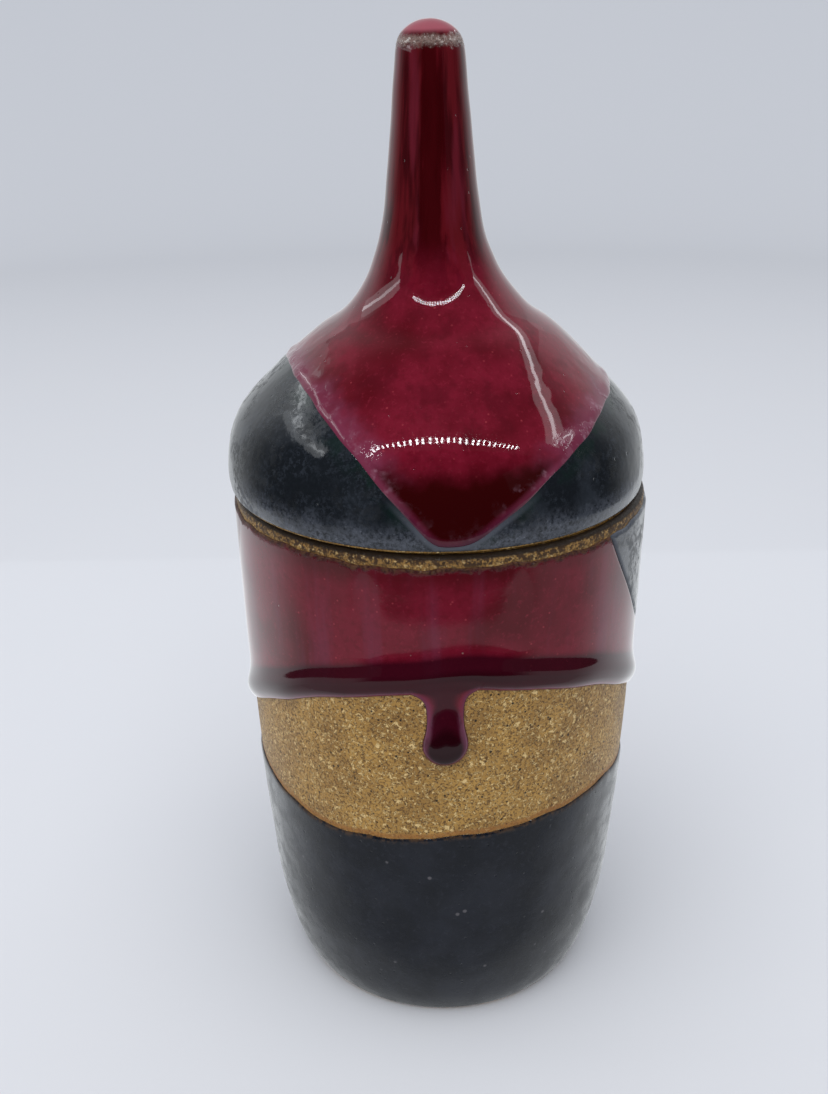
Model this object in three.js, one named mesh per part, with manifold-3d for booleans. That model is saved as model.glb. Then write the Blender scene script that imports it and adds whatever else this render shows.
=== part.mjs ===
// Lidded stoneware jar with a tall closed finial: two thrown clay pieces and the glaze coats fused to them.
// Millimetres and degrees, +Z up, origin at the centre of the foot, front towards -Y.
// Azimuth is measured about +Z from the front, positive towards +X.
import * as THREE from 'three';
import { mergeVertices } from 'three/addons/utils/BufferGeometryUtils.js';
import Module from 'manifold-3d';

const wasm = await Module();
wasm.setup();

// ---- Facets ----
const SEGMENTS = 40;
const WALL_STEPS = 2;
const ROLL_STEPS = 6;
const LEAST_STEP = 0.5;

// ---- Jar: outer clay wall, as radius and height at each station ----
const FOOT_RADIUS = 38.0;
const HEEL_RADIUS = 41.3;
const HEEL_HEIGHT = 7.0;
const BELLY_RADIUS = 44.7;
const BELLY_HEIGHT = 22.0;
const HIP_RADIUS = 46.1;
const HIP_HEIGHT = 36.0;
const WAIST_RADIUS = 48.8;
const WAIST_HEIGHT = 74.0;
const RIM_RADIUS = 50.4;
const JAR_HEIGHT = 134.6;

// ---- Jar: thickness, foot and rim ----
const JAR_WALL = 5.0;
const FLOOR_THICKNESS = 6.0;
const FLOOR_CORNER = 12.0;
const FOOT_RECESS = 1.0;
const FOOT_RING_WIDTH = 7.0;
const FOOT_EDGE = 0.8;
const RIM_EDGE = 0.8;

// ---- Glaze coats ----
const COAT = 0.4;
const COAT_GAP = 0.25;
const SEAM_GAP = 0.3;
const BARE_RIM_DEPTH = 3.1;
const BARE_FOOT_DEPTH = 0.6;
const ROLL_HEIGHT = 12.0;
const ROLL_PROUD = 1.3;
const ROLL_BELLY = 0.6;
const DRIP_LENGTH = 19.5;
const DRIP_NECK_WIDTH = 8.4;
const DRIP_BULB_WIDTH = 10.6;
const DRIP_THICKNESS = 1.8;

// ---- Glaze lines: height on the axis, slope of the dip, and the azimuth of its high side ----
const RED_LOWER_LINE = { height: 74.3, tilt: 28.2, highSide: 3.5 };
const FOOT_GLAZE_LINE = { height: 62.0, tilt: 2.0, highSide: 80 };
const SIDE_DIP = { height: 184.3, tilt: 62.2, highSide: -75.4 };

// ---- Lid: outer glazed outline. Insets are from the lid's radius, heights are above the seat. ----
const LID_OVERHANG = 0.5;
const LIP_INSET = 0.7;
const LID_BULGE_HEIGHT = 6.0;
const SHOULDER_INSET = 2.6;
const SHOULDER_HEIGHT = 17.1;
const DOME_INSET = 11.3;
const DOME_HEIGHT = 27.1;
const SLOPE_RADIUS = 29.0;
const SLOPE_HEIGHT = 37.1;
const FLARE_RADIUS = 19.5;
const FLARE_HEIGHT = 45.1;
const NECK_FOOT_RADIUS = 14.3;
const NECK_FOOT_HEIGHT = 53.1;
const NECK_RADIUS = 11.0;
const NECK_HEIGHT = 65.1;
const FINIAL_RADIUS = 7.45;
const FINIAL_HEIGHT = 100.7;
const CAP_RISE = 4.2;

// ---- Lid: thickness, flange and seat ----
const LID_WALL = 4.0;
const BORE_HEIGHT = 92.0;
const FLANGE_CLEARANCE = 1.3;
const FLANGE_THICKNESS = 4.0;
const FLANGE_DEPTH = 9.0;
const FLANGE_EDGE = 1.0;
const SEAT_GAP = 0.3;
const SEAT_SHIFT = -0.85;
const FINIAL_LEAN = 0.34;
const LID_BARE_EDGE = 0.5;
const LINER_EDGE_HEIGHT = 2.0;
const LINER_TOP_HEIGHT = 52.0;

// ---- Lid glaze: the two black dips and the depth of black left under the red tongues ----
const LEFT_DIP = { height: -10.1, tilt: 49.4, highSide: -80 };
const RIGHT_DIP = { height: -8.0, tilt: 37.7, highSide: 83.2 };
const TONGUE_TIP_HEIGHT = 1.6;

// ---- Sizes that follow from the ones above ----
const MOUTH_RADIUS = RIM_RADIUS - JAR_WALL;
const FLOOR_HEIGHT = FOOT_RECESS + FLOOR_THICKNESS;
const GLAZE_TOP = JAR_HEIGHT - BARE_RIM_DEPTH;
const COAT_OUTSIDE = COAT_GAP + COAT;
const LID_RADIUS = RIM_RADIUS + LID_OVERHANG;
const SEAT_HEIGHT = JAR_HEIGHT + SEAT_GAP;
const LINER_TOP = SEAT_HEIGHT - FLANGE_DEPTH - SEAT_GAP;
const REACH = 3 * (LID_RADIUS + JAR_HEIGHT);

// ---- Materials ----
function ceramic(name, color, roughness, metalness = 0) {
  return new THREE.MeshStandardMaterial({ name, color, roughness, metalness });
}

const clayMaterial = () => ceramic('bare_clay', 0x8f7350, 0.85);
const redMaterial = () => ceramic('red_glaze', 0x5c0f1f, 0.18);
const blackMaterial = () => ceramic('black_glaze', 0x20262c, 0.3);
const linerMaterial = () => ceramic('liner_glaze', 0x6b6358, 0.35);

// ---- Outlines: lists of (radius, height) points ----
const at = (radius, height) => new THREE.Vector2(radius, height);

// The points of an outline moved along its normals; positive moves outwards on a line that climbs.
function offset(points, distance) {
  return points.map((point, i) => {
    const before = points[Math.max(i - 1, 0)];
    const after = points[Math.min(i + 1, points.length - 1)];
    const along = after.clone().sub(before).normalize();
    const moved = at(point.x + along.y * distance, point.y - along.x * distance);
    return point.x < 1e-6 ? at(0, point.y + distance) : moved;
  });
}

// The radius of an outline at a height, between its points.
function radiusAt(points, height) {
  const i = points.findIndex((point) => point.y >= height);
  if (i < 0) return points[points.length - 1].x;
  if (i === 0) return points[0].x;
  const [low, high] = [points[i - 1], points[i]];
  return THREE.MathUtils.mapLinear(height, low.y, high.y, low.x, high.x);
}

// A stretch of an outline between two heights, with its end points on those heights.
function stretch(points, low, high) {
  const inside = points.filter((point) => point.y > low + LEAST_STEP && point.y < high - LEAST_STEP);
  return [at(radiusAt(points, low), low), ...inside, at(radiusAt(points, high), high)];
}

const backwards = (points) => [...points].reverse();

function revolve(points) {
  return new THREE.LatheGeometry(points, SEGMENTS).rotateX(Math.PI / 2);
}

// ---- Solids ----
function solidFrom(geometry) {
  const bare = geometry.clone();
  bare.deleteAttribute('normal');
  bare.deleteAttribute('uv');
  const merged = mergeVertices(bare, 1e-4);
  const source = merged.index.array;
  const triangles = [];
  for (let i = 0; i < source.length; i += 3) {
    const [a, b, c] = source.slice(i, i + 3);
    if (a !== b && b !== c && c !== a) triangles.push(a, b, c);
  }
  const vertProperties = merged.attributes.position.array;
  const triVerts = new Uint32Array(triangles);
  return new wasm.Manifold(new wasm.Mesh({ numProp: 3, vertProperties, triVerts }));
}

function geometryFrom(solid) {
  const mesh = solid.getMesh();
  const geometry = new THREE.BufferGeometry();
  geometry.setAttribute('position', new THREE.BufferAttribute(mesh.vertProperties, 3));
  geometry.setIndex(new THREE.BufferAttribute(mesh.triVerts, 1));
  geometry.computeVertexNormals();
  return geometry;
}

const radians = THREE.MathUtils.degToRad;

// The height of a tilted glaze line at an azimuth (in radians) on a wall.
function lineHeight(line, azimuth, radius) {
  const across = radius * Math.cos(azimuth - radians(line.highSide));
  return line.height + Math.tan(radians(line.tilt)) * across;
}

// A block that fills everything above a tilted glaze line, raised by a distance square to it.
function blockAbove(line, raised = 0) {
  const size = REACH;
  const lean = radians(line.tilt);
  const side = radians(line.highSide);
  const flat = Math.sin(lean);
  const up = new THREE.Vector3(-flat * Math.sin(side), flat * Math.cos(side), Math.cos(lean));
  const turn = new THREE.Quaternion().setFromUnitVectors(new THREE.Vector3(0, 0, 1), up);
  const block = new THREE.BoxGeometry(size, size, size);
  block.translate(0, 0, size / 2 + raised);
  block.applyQuaternion(turn);
  block.translate(0, 0, line.height);
  return solidFrom(block);
}

// ---- Jar outlines ----
const wallStations = new THREE.SplineCurve([
  at(FOOT_RADIUS, 0),
  at(HEEL_RADIUS, HEEL_HEIGHT),
  at(BELLY_RADIUS, BELLY_HEIGHT),
  at(HIP_RADIUS, HIP_HEIGHT),
  at(WAIST_RADIUS, WAIST_HEIGHT),
  at(RIM_RADIUS, JAR_HEIGHT),
]);
const wallOutline = wallStations.getPoints(5 * WALL_STEPS);

// The flange clears the narrowest part of the mouth that it reaches.
const mouthBottom = radiusAt(wallOutline, JAR_HEIGHT - FLANGE_DEPTH) - JAR_WALL;
const FLANGE_RADIUS = Math.min(MOUTH_RADIUS, mouthBottom) - FLANGE_CLEARANCE;
const FLANGE_BORE = FLANGE_RADIUS - FLANGE_THICKNESS;

// The inside of the jar: flat floor, quarter-round corner and a wall of even thickness.
function insideOutline(inset) {
  const cornerHeight = FLOOR_HEIGHT + FLOOR_CORNER;
  const cornerRadius = radiusAt(wallOutline, cornerHeight) - JAR_WALL;
  const centre = at(cornerRadius - FLOOR_CORNER, cornerHeight);
  const bend = FLOOR_CORNER - inset;
  const corner = new THREE.EllipseCurve(centre.x, centre.y, bend, bend, -Math.PI / 2, 0).getPoints(4);
  const wall = stretch(wallOutline, cornerHeight, JAR_HEIGHT).slice(1);
  const inner = wall.map((point) => at(point.x - JAR_WALL - inset, point.y));
  return [at(0, FLOOR_HEIGHT + inset), ...corner, ...inner];
}

function jarBody() {
  const outer = stretch(wallOutline, FOOT_EDGE, JAR_HEIGHT - RIM_EDGE);
  const footInner = FOOT_RADIUS - FOOT_RING_WIDTH;
  const inside = insideOutline(0).slice(0, -1);
  return revolve([
    at(0, FOOT_RECESS),
    at(footInner - FOOT_RECESS, FOOT_RECESS),
    at(footInner, 0),
    at(FOOT_RADIUS - FOOT_EDGE, 0),
    ...outer,
    at(RIM_RADIUS - RIM_EDGE, JAR_HEIGHT),
    at(MOUTH_RADIUS + RIM_EDGE, JAR_HEIGHT),
    at(MOUTH_RADIUS, JAR_HEIGHT - RIM_EDGE),
    ...backwards(inside),
  ]);
}

function jarLiner() {
  const near = stretchFromFloor(insideOutline(COAT_GAP), LINER_TOP);
  const far = stretchFromFloor(insideOutline(COAT_OUTSIDE), LINER_TOP);
  return revolve([...near, ...backwards(far)]);
}

// An inside outline from the floor's centre up to a height.
function stretchFromFloor(points, height) {
  const wall = points.filter((point) => point.y < height - LEAST_STEP);
  return [...wall, at(radiusAt(points.slice(1), height), height)];
}

// A bead laid on the jar's wall along a line that goes round it. Each point of its closed profile
// is a distance out from the clay and a rise above the line.
function drapedBead(profile, line) {
  const geometry = revolve(profile);
  const position = geometry.attributes.position;
  for (let i = 0; i < position.count; i += 1) {
    const azimuth = (2 * Math.PI * Math.floor(i / profile.length)) / SEGMENTS;
    const point = profile[i % profile.length];
    const height = line(azimuth) + point.y;
    const radius = radiusAt(wallOutline, height) + point.x;
    position.setXYZ(i, radius * Math.sin(azimuth), -radius * Math.cos(azimuth), height);
  }
  return solidFrom(geometry);
}

// A level band round the jar's wall, between two distances out from the clay and two heights.
function wallBand(inside, outside, low, high) {
  const wall = stretch(wallOutline, low, high);
  const front = wall.map((point) => at(point.x + outside, point.y));
  const back = backwards(wall).map((point) => at(point.x + inside, point.y));
  return solidFrom(revolve([...front, ...back, front[0]]));
}

// A tilted line's height where it meets the wall, by following the wall's taper.
function lineOnWall(line) {
  return (azimuth) => {
    const first = lineHeight(line, azimuth, WAIST_RADIUS);
    return lineHeight(line, azimuth, radiusAt(wallOutline, first));
  };
}

// ---- Jar glazes ----
const redLine = lineOnWall(RED_LOWER_LINE);
const footLine = lineOnWall(FOOT_GLAZE_LINE);

// The thick roll along the red glaze's lower edge: full at the bottom, thin where it meets the coat.
function redRoll() {
  const thick = COAT_OUTSIDE + ROLL_PROUD;
  const face = new THREE.CubicBezierCurve(
    at(COAT_GAP, 0),
    at(1.5 * thick, 0),
    at(thick, ROLL_BELLY * ROLL_HEIGHT),
    at(COAT_OUTSIDE, ROLL_HEIGHT),
  ).getPoints(ROLL_STEPS);
  const back = backwards(face).map((point) => at(COAT_GAP, point.y));
  return drapedBead([...face, ...back], redLine);
}

// The run of red glaze that hangs from the roll at the front and ends in a bulb.
function drip() {
  const neck = DRIP_NECK_WIDTH / 2;
  const bulb = DRIP_BULB_WIDTH / 2;
  const top = redLine(0) + ROLL_HEIGHT / 2;
  const bulbHeight = redLine(0) - DRIP_LENGTH + bulb;
  const outline = new THREE.Shape();
  outline.moveTo(-bulb, top);
  outline.quadraticCurveTo(-neck, top - ROLL_HEIGHT / 2, -neck, bulbHeight + bulb);
  outline.quadraticCurveTo(-bulb, bulbHeight + neck, -bulb, bulbHeight);
  outline.absarc(0, bulbHeight, bulb, Math.PI, 2 * Math.PI, false);
  outline.quadraticCurveTo(bulb, bulbHeight + neck, neck, bulbHeight + bulb);
  outline.quadraticCurveTo(neck, top - ROLL_HEIGHT / 2, bulb, top);
  const block = new THREE.ExtrudeGeometry(outline, { depth: REACH, bevelEnabled: false, curveSegments: 5 });
  block.rotateX(Math.PI / 2);
  const band = wallBand(COAT_GAP, DRIP_THICKNESS, bulbHeight - 2 * bulb, top + ROLL_HEIGHT / 2);
  return solidFrom(block).intersect(band);
}

function jarRedGlaze() {
  const band = wallBand(COAT_GAP, COAT_OUTSIDE, HEEL_HEIGHT, GLAZE_TOP);
  const coat = band.intersect(blockAbove(RED_LOWER_LINE, ROLL_HEIGHT / 2));
  const whole = coat.add(redRoll()).add(drip());
  return geometryFrom(whole.subtract(blockAbove(SIDE_DIP, -SEAM_GAP)));
}

function jarSideGlaze() {
  const band = wallBand(COAT_GAP, COAT_OUTSIDE, GLAZE_TOP / 2, GLAZE_TOP);
  return geometryFrom(band.intersect(blockAbove(SIDE_DIP)));
}

// The black glaze from the foot up; at the back it stops just under the red roll.
function jarFootGlaze() {
  const band = wallBand(COAT_GAP, COAT_OUTSIDE, BARE_FOOT_DEPTH, GLAZE_TOP);
  const level = band.subtract(blockAbove(FOOT_GLAZE_LINE));
  return geometryFrom(level.subtract(blockAbove(RED_LOWER_LINE, -SEAM_GAP)));
}

// ---- Lid outlines, with heights above the seat ----
const lidStations = new THREE.SplineCurve([
  at(LID_RADIUS - LIP_INSET, 0),
  at(LID_RADIUS, LID_BULGE_HEIGHT),
  at(LID_RADIUS - SHOULDER_INSET, SHOULDER_HEIGHT),
  at(LID_RADIUS - DOME_INSET, DOME_HEIGHT),
  at(SLOPE_RADIUS, SLOPE_HEIGHT),
  at(FLARE_RADIUS, FLARE_HEIGHT),
  at(NECK_FOOT_RADIUS, NECK_FOOT_HEIGHT),
  at(NECK_RADIUS, NECK_HEIGHT),
  at(FINIAL_RADIUS, FINIAL_HEIGHT),
]);
const lidSide = lidStations.getPoints(8 * WALL_STEPS);

// The low round cap that closes the finial.
function capOutline() {
  const bend = (FINIAL_RADIUS ** 2 + CAP_RISE ** 2) / (2 * CAP_RISE);
  const centre = FINIAL_HEIGHT + CAP_RISE - bend;
  const start = Math.atan2(FINIAL_HEIGHT - centre, FINIAL_RADIUS);
  const arc = new THREE.EllipseCurve(0, centre, bend, bend, start, Math.PI / 2).getPoints(4);
  arc[4].setX(0);
  return arc.slice(1);
}

const lidOutline = [...lidSide, ...capOutline()];
const lidClayOutline = offset(lidOutline, -COAT_OUTSIDE);

// The hollow under the lid, from the flange's bore up to the top of the neck.
function lidInside(inset, low, high) {
  const hollow = offset(lidSide, -COAT_OUTSIDE - LID_WALL - inset);
  const bore = FLANGE_BORE - inset;
  const between = hollow.filter((point) => point.y > low + LEAST_STEP && point.y < high - LEAST_STEP);
  const inside = between.map((point) => at(Math.min(point.x, bore), point.y));
  return [at(bore, low), ...inside, at(radiusAt(hollow, high), high)];
}

function lidBody() {
  const outer = lidClayOutline.filter((point) => point.y > FLANGE_EDGE);
  const inside = lidInside(0, 0, BORE_HEIGHT);
  const seatEdge = outer[0].x - FLANGE_EDGE / 2;
  return revolve([
    at(0, BORE_HEIGHT),
    ...backwards(inside),
    at(FLANGE_BORE, -FLANGE_DEPTH + FLANGE_EDGE),
    at(FLANGE_BORE + FLANGE_EDGE, -FLANGE_DEPTH),
    at(FLANGE_RADIUS - FLANGE_EDGE, -FLANGE_DEPTH),
    at(FLANGE_RADIUS, -FLANGE_DEPTH + FLANGE_EDGE),
    at(FLANGE_RADIUS, 0),
    at(seatEdge, 0),
    ...outer,
  ]);
}

function lidCoat() {
  const aboveEdge = (point) => point.y > LID_BARE_EDGE + LEAST_STEP;
  const outer = lidOutline.filter(aboveEdge);
  const inner = offset(lidOutline, -COAT).filter(aboveEdge);
  const edge = at(radiusAt(lidOutline, LID_BARE_EDGE), LID_BARE_EDGE);
  const innerEdge = at(edge.x - COAT, LID_BARE_EDGE);
  return solidFrom(revolve([innerEdge, edge, ...outer, ...backwards(inner), innerEdge]));
}

// The red stays above both dips and above the rim of black that joins them.
function redRegion() {
  const level = { height: TONGUE_TIP_HEIGHT, tilt: 0, highSide: 0 };
  return [LEFT_DIP, RIGHT_DIP, level];
}

function lidRedGlaze() {
  const solid = redRegion().reduce((rest, line) => rest.intersect(blockAbove(line, SEAM_GAP)), lidCoat());
  return geometryFrom(solid);
}

function lidBlackGlaze() {
  const [left, right, level] = redRegion().map((line) => blockAbove(line));
  return geometryFrom(lidCoat().subtract(left.intersect(right).intersect(level)));
}

function lidLiner() {
  const near = lidInside(COAT_GAP, LINER_EDGE_HEIGHT, LINER_TOP_HEIGHT);
  const far = lidInside(COAT_OUTSIDE, LINER_EDGE_HEIGHT, LINER_TOP_HEIGHT);
  return revolve([...near, ...backwards(far), near[0]]);
}

// ---- Assembly ----
function piece(name, geometry, material) {
  const mesh = new THREE.Mesh(geometry, material);
  mesh.name = name;
  return mesh;
}

function jar() {
  const group = new THREE.Group();
  group.add(piece('jar_body', jarBody(), clayMaterial()));
  group.add(piece('jar_liner_glaze', jarLiner(), linerMaterial()));
  group.add(piece('jar_red_glaze', jarRedGlaze(), redMaterial()));
  group.add(piece('jar_black_foot_glaze', jarFootGlaze(), blackMaterial()));
  group.add(piece('jar_black_side_glaze', jarSideGlaze(), blackMaterial()));
  return group;
}

// The neck leans a little to one side, so the whole lid is sheared from its seat up.
function leaning(geometry) {
  const slope = -Math.tan(radians(FINIAL_LEAN));
  return geometry.applyMatrix4(new THREE.Matrix4().makeShear(0, 0, 0, 0, slope, 0));
}

function lid() {
  const group = new THREE.Group();
  group.add(piece('lid_body', leaning(lidBody()), clayMaterial()));
  group.add(piece('lid_liner_glaze', leaning(lidLiner()), linerMaterial()));
  group.add(piece('lid_red_glaze', leaning(lidRedGlaze()), redMaterial()));
  group.add(piece('lid_black_glaze', leaning(lidBlackGlaze()), blackMaterial()));
  group.position.set(SEAT_SHIFT, 0, SEAT_HEIGHT);
  return group;
}

const liddedJar = new THREE.Group();
liddedJar.add(jar(), lid());

export default liddedJar;
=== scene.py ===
import math

import bmesh
import bpy
import numpy as np
from bpy.props import FloatProperty, FloatVectorProperty, PointerProperty
from mathutils import Matrix, Vector
from mathutils.kdtree import KDTree


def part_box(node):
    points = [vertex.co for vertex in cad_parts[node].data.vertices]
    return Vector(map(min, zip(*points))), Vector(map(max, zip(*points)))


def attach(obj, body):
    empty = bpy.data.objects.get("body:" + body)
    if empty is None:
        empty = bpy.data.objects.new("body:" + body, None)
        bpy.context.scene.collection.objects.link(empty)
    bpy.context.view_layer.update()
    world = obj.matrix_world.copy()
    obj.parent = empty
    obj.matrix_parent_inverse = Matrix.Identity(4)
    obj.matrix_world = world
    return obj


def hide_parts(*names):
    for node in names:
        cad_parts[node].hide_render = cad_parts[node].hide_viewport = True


bl_info = {
    "name": "Lidded Stoneware Jar",
    "version": (1, 0, 0),
    "blender": (4, 5, 0),
    "location": "View3D > Sidebar > Jar",
    "description": "Glazed finish for a thrown jar and its tall lid, laid over the packed frame",
    "category": "Add Mesh",
}

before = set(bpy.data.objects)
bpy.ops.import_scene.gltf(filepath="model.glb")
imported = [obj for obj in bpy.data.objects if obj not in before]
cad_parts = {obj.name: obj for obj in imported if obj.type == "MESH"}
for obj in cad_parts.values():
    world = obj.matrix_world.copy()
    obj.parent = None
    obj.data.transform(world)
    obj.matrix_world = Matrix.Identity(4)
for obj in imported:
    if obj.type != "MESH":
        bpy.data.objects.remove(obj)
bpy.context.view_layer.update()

# Shapes are worked out in millimetres. The frame and the finished meshes are in metres.
MM = 0.001
JAR_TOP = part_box("jar_body")[1].z / MM
SEAT_HEIGHT = JAR_TOP + 0.3
LID_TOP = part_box("lid_red_glaze")[1].z / MM - SEAT_HEIGHT
LID_SHIFT = -0.85
LID_LEAN = math.tan(math.radians(0.34))

# Outside of the clay jar: radius and height at each station of its curve.
FOOT_RADIUS = 38.0
JAR_STATIONS = [(FOOT_RADIUS, 0.0), (41.3, 7.0), (44.7, 22.0), (46.1, 36.0), (48.8, 74.0), (50.4, JAR_TOP)]
# Outside of the glazed lid up to the finial's corner, with heights above its seat.
LID_RADIUS = 50.9
FINIAL_CORNER = (7.45, 100.7)
LID_STATIONS = [
    (LID_RADIUS - 0.7, 0.0),
    (LID_RADIUS, 6.0),
    (LID_RADIUS - 2.6, 17.1),
    (LID_RADIUS - 11.3, 27.1),
    (28.9, 37.1),
    (22.9, 41.1),
    (19.9, 44.1),
    (17.0, 47.9),
    (14.3, 53.1),
    (11.0, 65.1),
    FINIAL_CORNER,
]
# Walls, rounded edges and coats.
JAR_WALL = 5.0
JAR_FLOOR = 7.0
FLOOR_CORNER = 12.0
FOOT_RING = 7.0
FOOT_RECESS = 1.0
HEEL_ROUND = 1.0
RIM_ROUND = 1.6
MOUTH_ROUND = 1.1
# The liners lie just clear of the clay, and the jar's ends below its rim.
LINER_GAP, LINER_COAT = 0.05, 0.6
LINER_DROP = 10.0
# Marks clay that is nowhere near the lid.
FAR_BELOW = 50.0
LID_COAT = 0.65
LID_WALL = 4.0
BORE_HEIGHT = 92.0
FLANGE_RADIUS = 43.7
FLANGE_THICKNESS = 4.0
FLANGE_DEPTH = 9.0
FLANGE_ROUND = 1.0
FLANGE_FLARE = 0.5
LID_EDGE_ROUND = 1.2
LID_LINER_SPAN = (2.0, 52.0)
# How far the lid's black runs on under the red.
UNDER_RED = 0.9

# Columns of faces round each turned skin, and rows up the clay, the coats and their backs.
COLUMNS, LINER_COLUMNS, PATCH_COLUMNS = 480, 240, 220
WALL_ROWS, INSIDE_ROWS = 100, 38
RED_ROWS, FOOT_ROWS, PATCH_ROWS, LID_BLACK_ROWS, LID_RED_ROWS = 72, 66, 40, 56, 152
BACK_ROWS = 14
# Distances from a coat's edge of the rows that follow its rounding.
EDGE_ROWS = np.array([0.0, 0.03, 0.08, 0.16, 0.28, 0.45, 0.7, 1.0, 1.4])
# A coat's back lies this far inside the clay.
BURIED = -0.3
# Radius at which the red coat is laid out flat, and half of its columns, in the drip and beside it.
UNROLL_RADIUS = 49.5
DRIP_LANES, WALL_LANES = 70, 230
# How far round the jar the black patch lies and reaches, in radians, and the red's gap to it.
PATCH_MIDDLE, PATCH_REACH, PATCH_GAP = 1.82, 1.4, 0.15
# The patch is frosted as the lid is at this height above its seat.
PATCH_FROST = 4.5
# The roll over its lower edge, and how wide the rounded sides of roll, drip and wiped edge are.
ROLL_MIDDLE, ROLL_SPREAD = 4.3, 3.7
ROLL_SIDE, DRIP_SIDE, WIPED_SIDE = 2.4, 4.6, 0.9
DRIP_START = 1.0
# Unevenness dies away this close to the axis.
CALM_RADIUS = 10.0


# ---------------------------------------------------------------- sizes and colours

def length(name, text, default):
    return FloatProperty(name=name, description=text, default=default, subtype="DISTANCE", unit="LENGTH")


def angle(name, text, degrees):
    return FloatProperty(name=name, description=text, default=math.radians(degrees), subtype="ANGLE")


def colour(name, text, default):
    return FloatVectorProperty(
        name=name, description=text, default=default, subtype="COLOR", size=3, min=0, max=1)


class JarGlazeSizes(bpy.types.PropertyGroup):
    coat: length("Coat", "Thickness of the red coat on the jar", 0.00062)
    satin_coat: length("Satin coat", "Thickness of the black coats on the jar", 0.00045)
    bare_rim: length("Bare rim", "Height of bare clay left under the rim", 0.0027)
    bare_foot: length("Bare foot", "Height of bare clay left above the foot", 0.0006)
    red_line: length("Red line", "Height on the axis of the red coat's lower edge", 0.0743)
    red_tilt: angle("Red tilt", "Slope of the red coat's lower edge", 28.2)
    foot_line: length("Foot line", "Mean height of the black foot's upper edge", 0.0615)
    roll_proud: length("Roll", "How far the thick roll stands out of the coat", 0.00118)
    drip_length: length("Drip", "Length of the run that hangs from the roll", 0.0194)
    drip_neck: length("Drip neck", "Width of the run at its neck", 0.0084)
    drip_bulb: length("Drip bulb", "Width of the bead that ends the run", 0.0106)
    drip_thickness: length("Drip thickness", "Thickness of the run at its bead", 0.0027)


class LidGlazeSizes(bpy.types.PropertyGroup):
    coat: length("Coat", "Thickness of the red coat on the lid", 0.00064)
    black_coat: length("Black coat", "Thickness of the black coat on the lid", 0.0005)
    edge_bead: length("Edge bead", "How far the red coat's edge stands out of the coat", 0.00022)
    bare_edge: length("Bare edge", "Height of bare clay left above the seat", 0.0006)
    tongue_tip: length("Tongue tip", "Height of the red tongue's tip above the seat", 0.0016)


class GlazeColours(bpy.types.PropertyGroup):
    oxblood: colour("Oxblood", "Deep red where the glaze is thick", (0.078, 0.0020, 0.006))
    crimson: colour("Crimson", "Brighter red of the open walls", (0.158, 0.0070, 0.020))
    violet: colour("Violet", "Milky veil along the edges of the red", (0.165, 0.034, 0.070))
    black: colour("Black", "Glossy black of the lid", (0.0075, 0.0095, 0.0125))
    frost: colour("Frost", "Blue-grey crystals on the black", (0.094, 0.104, 0.130))
    foot: colour("Foot", "Satin black of the foot", (0.0060, 0.0078, 0.0135))
    clay: colour("Clay", "Golden stoneware", (0.51, 0.285, 0.066))
    grog: colour("Grog", "Pale grains in the clay", (0.84, 0.60, 0.26))
    iron: colour("Iron", "Dark specks in the clay", (0.028, 0.016, 0.008))
    liner: colour("Liner", "Glaze inside the jar and the lid", (0.115, 0.098, 0.078))
    paper: colour("Paper", "Pale sweep behind the jar", (0.735, 0.745, 0.775))


# ---------------------------------------------------------------- turned surfaces

def curve_through(stations, steps=24):
    """A smooth line through a few (radius, height) stations."""
    p = np.array(stations, float)
    p = np.vstack([p[:1], p, p[-1:]])
    t = np.linspace(0, 1, steps, endpoint=False)[:, None]
    spans = []
    for a, b, c, d in zip(p, p[1:], p[2:], p[3:]):
        m = (c - a) / 2
        n = (d - b) / 2
        spans.append(((2 * (b - c) + m + n) * t + 3 * (c - b) - 2 * m - n) * t * t + m * t + b)
    return np.vstack(spans + [p[-1:]])


def arc_between(start, top_height, steps=24):
    """The low round cap from a corner to the axis."""
    radius, height = start
    rise = top_height - height
    bend = (radius ** 2 + rise ** 2) / (2 * rise)
    centre = top_height - bend
    turn = np.linspace(math.atan2(height - centre, radius), math.pi / 2, steps)
    return np.stack([bend * np.cos(turn), centre + bend * np.sin(turn)], axis=1)


def evenly(points, step=0.1):
    """The same line with points a short, even step apart."""
    gaps = np.hypot(*np.diff(points, axis=0).T)
    along = np.append(0, np.cumsum(gaps))
    wanted = np.linspace(0, along[-1], int(along[-1] / step) + 1)
    return np.stack([np.interp(wanted, along, points[:, i]) for i in (0, 1)], axis=1)


def softened(points, width, step=0.1):
    """The line with its bends eased over a width; its two ends stay where they are."""
    reach = int(3 * width / step)
    weight = np.exp(-0.5 * (np.arange(-reach, reach + 1) * step / width) ** 2)
    weight /= weight.sum()
    before = 2 * points[0] - points[reach:0:-1]
    after = 2 * points[-1] - points[-2:-reach - 2:-1]
    padded = np.vstack([before, points, after])
    return np.stack([np.convolve(padded[:, i], weight, "valid") for i in (0, 1)], axis=1)


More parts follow.
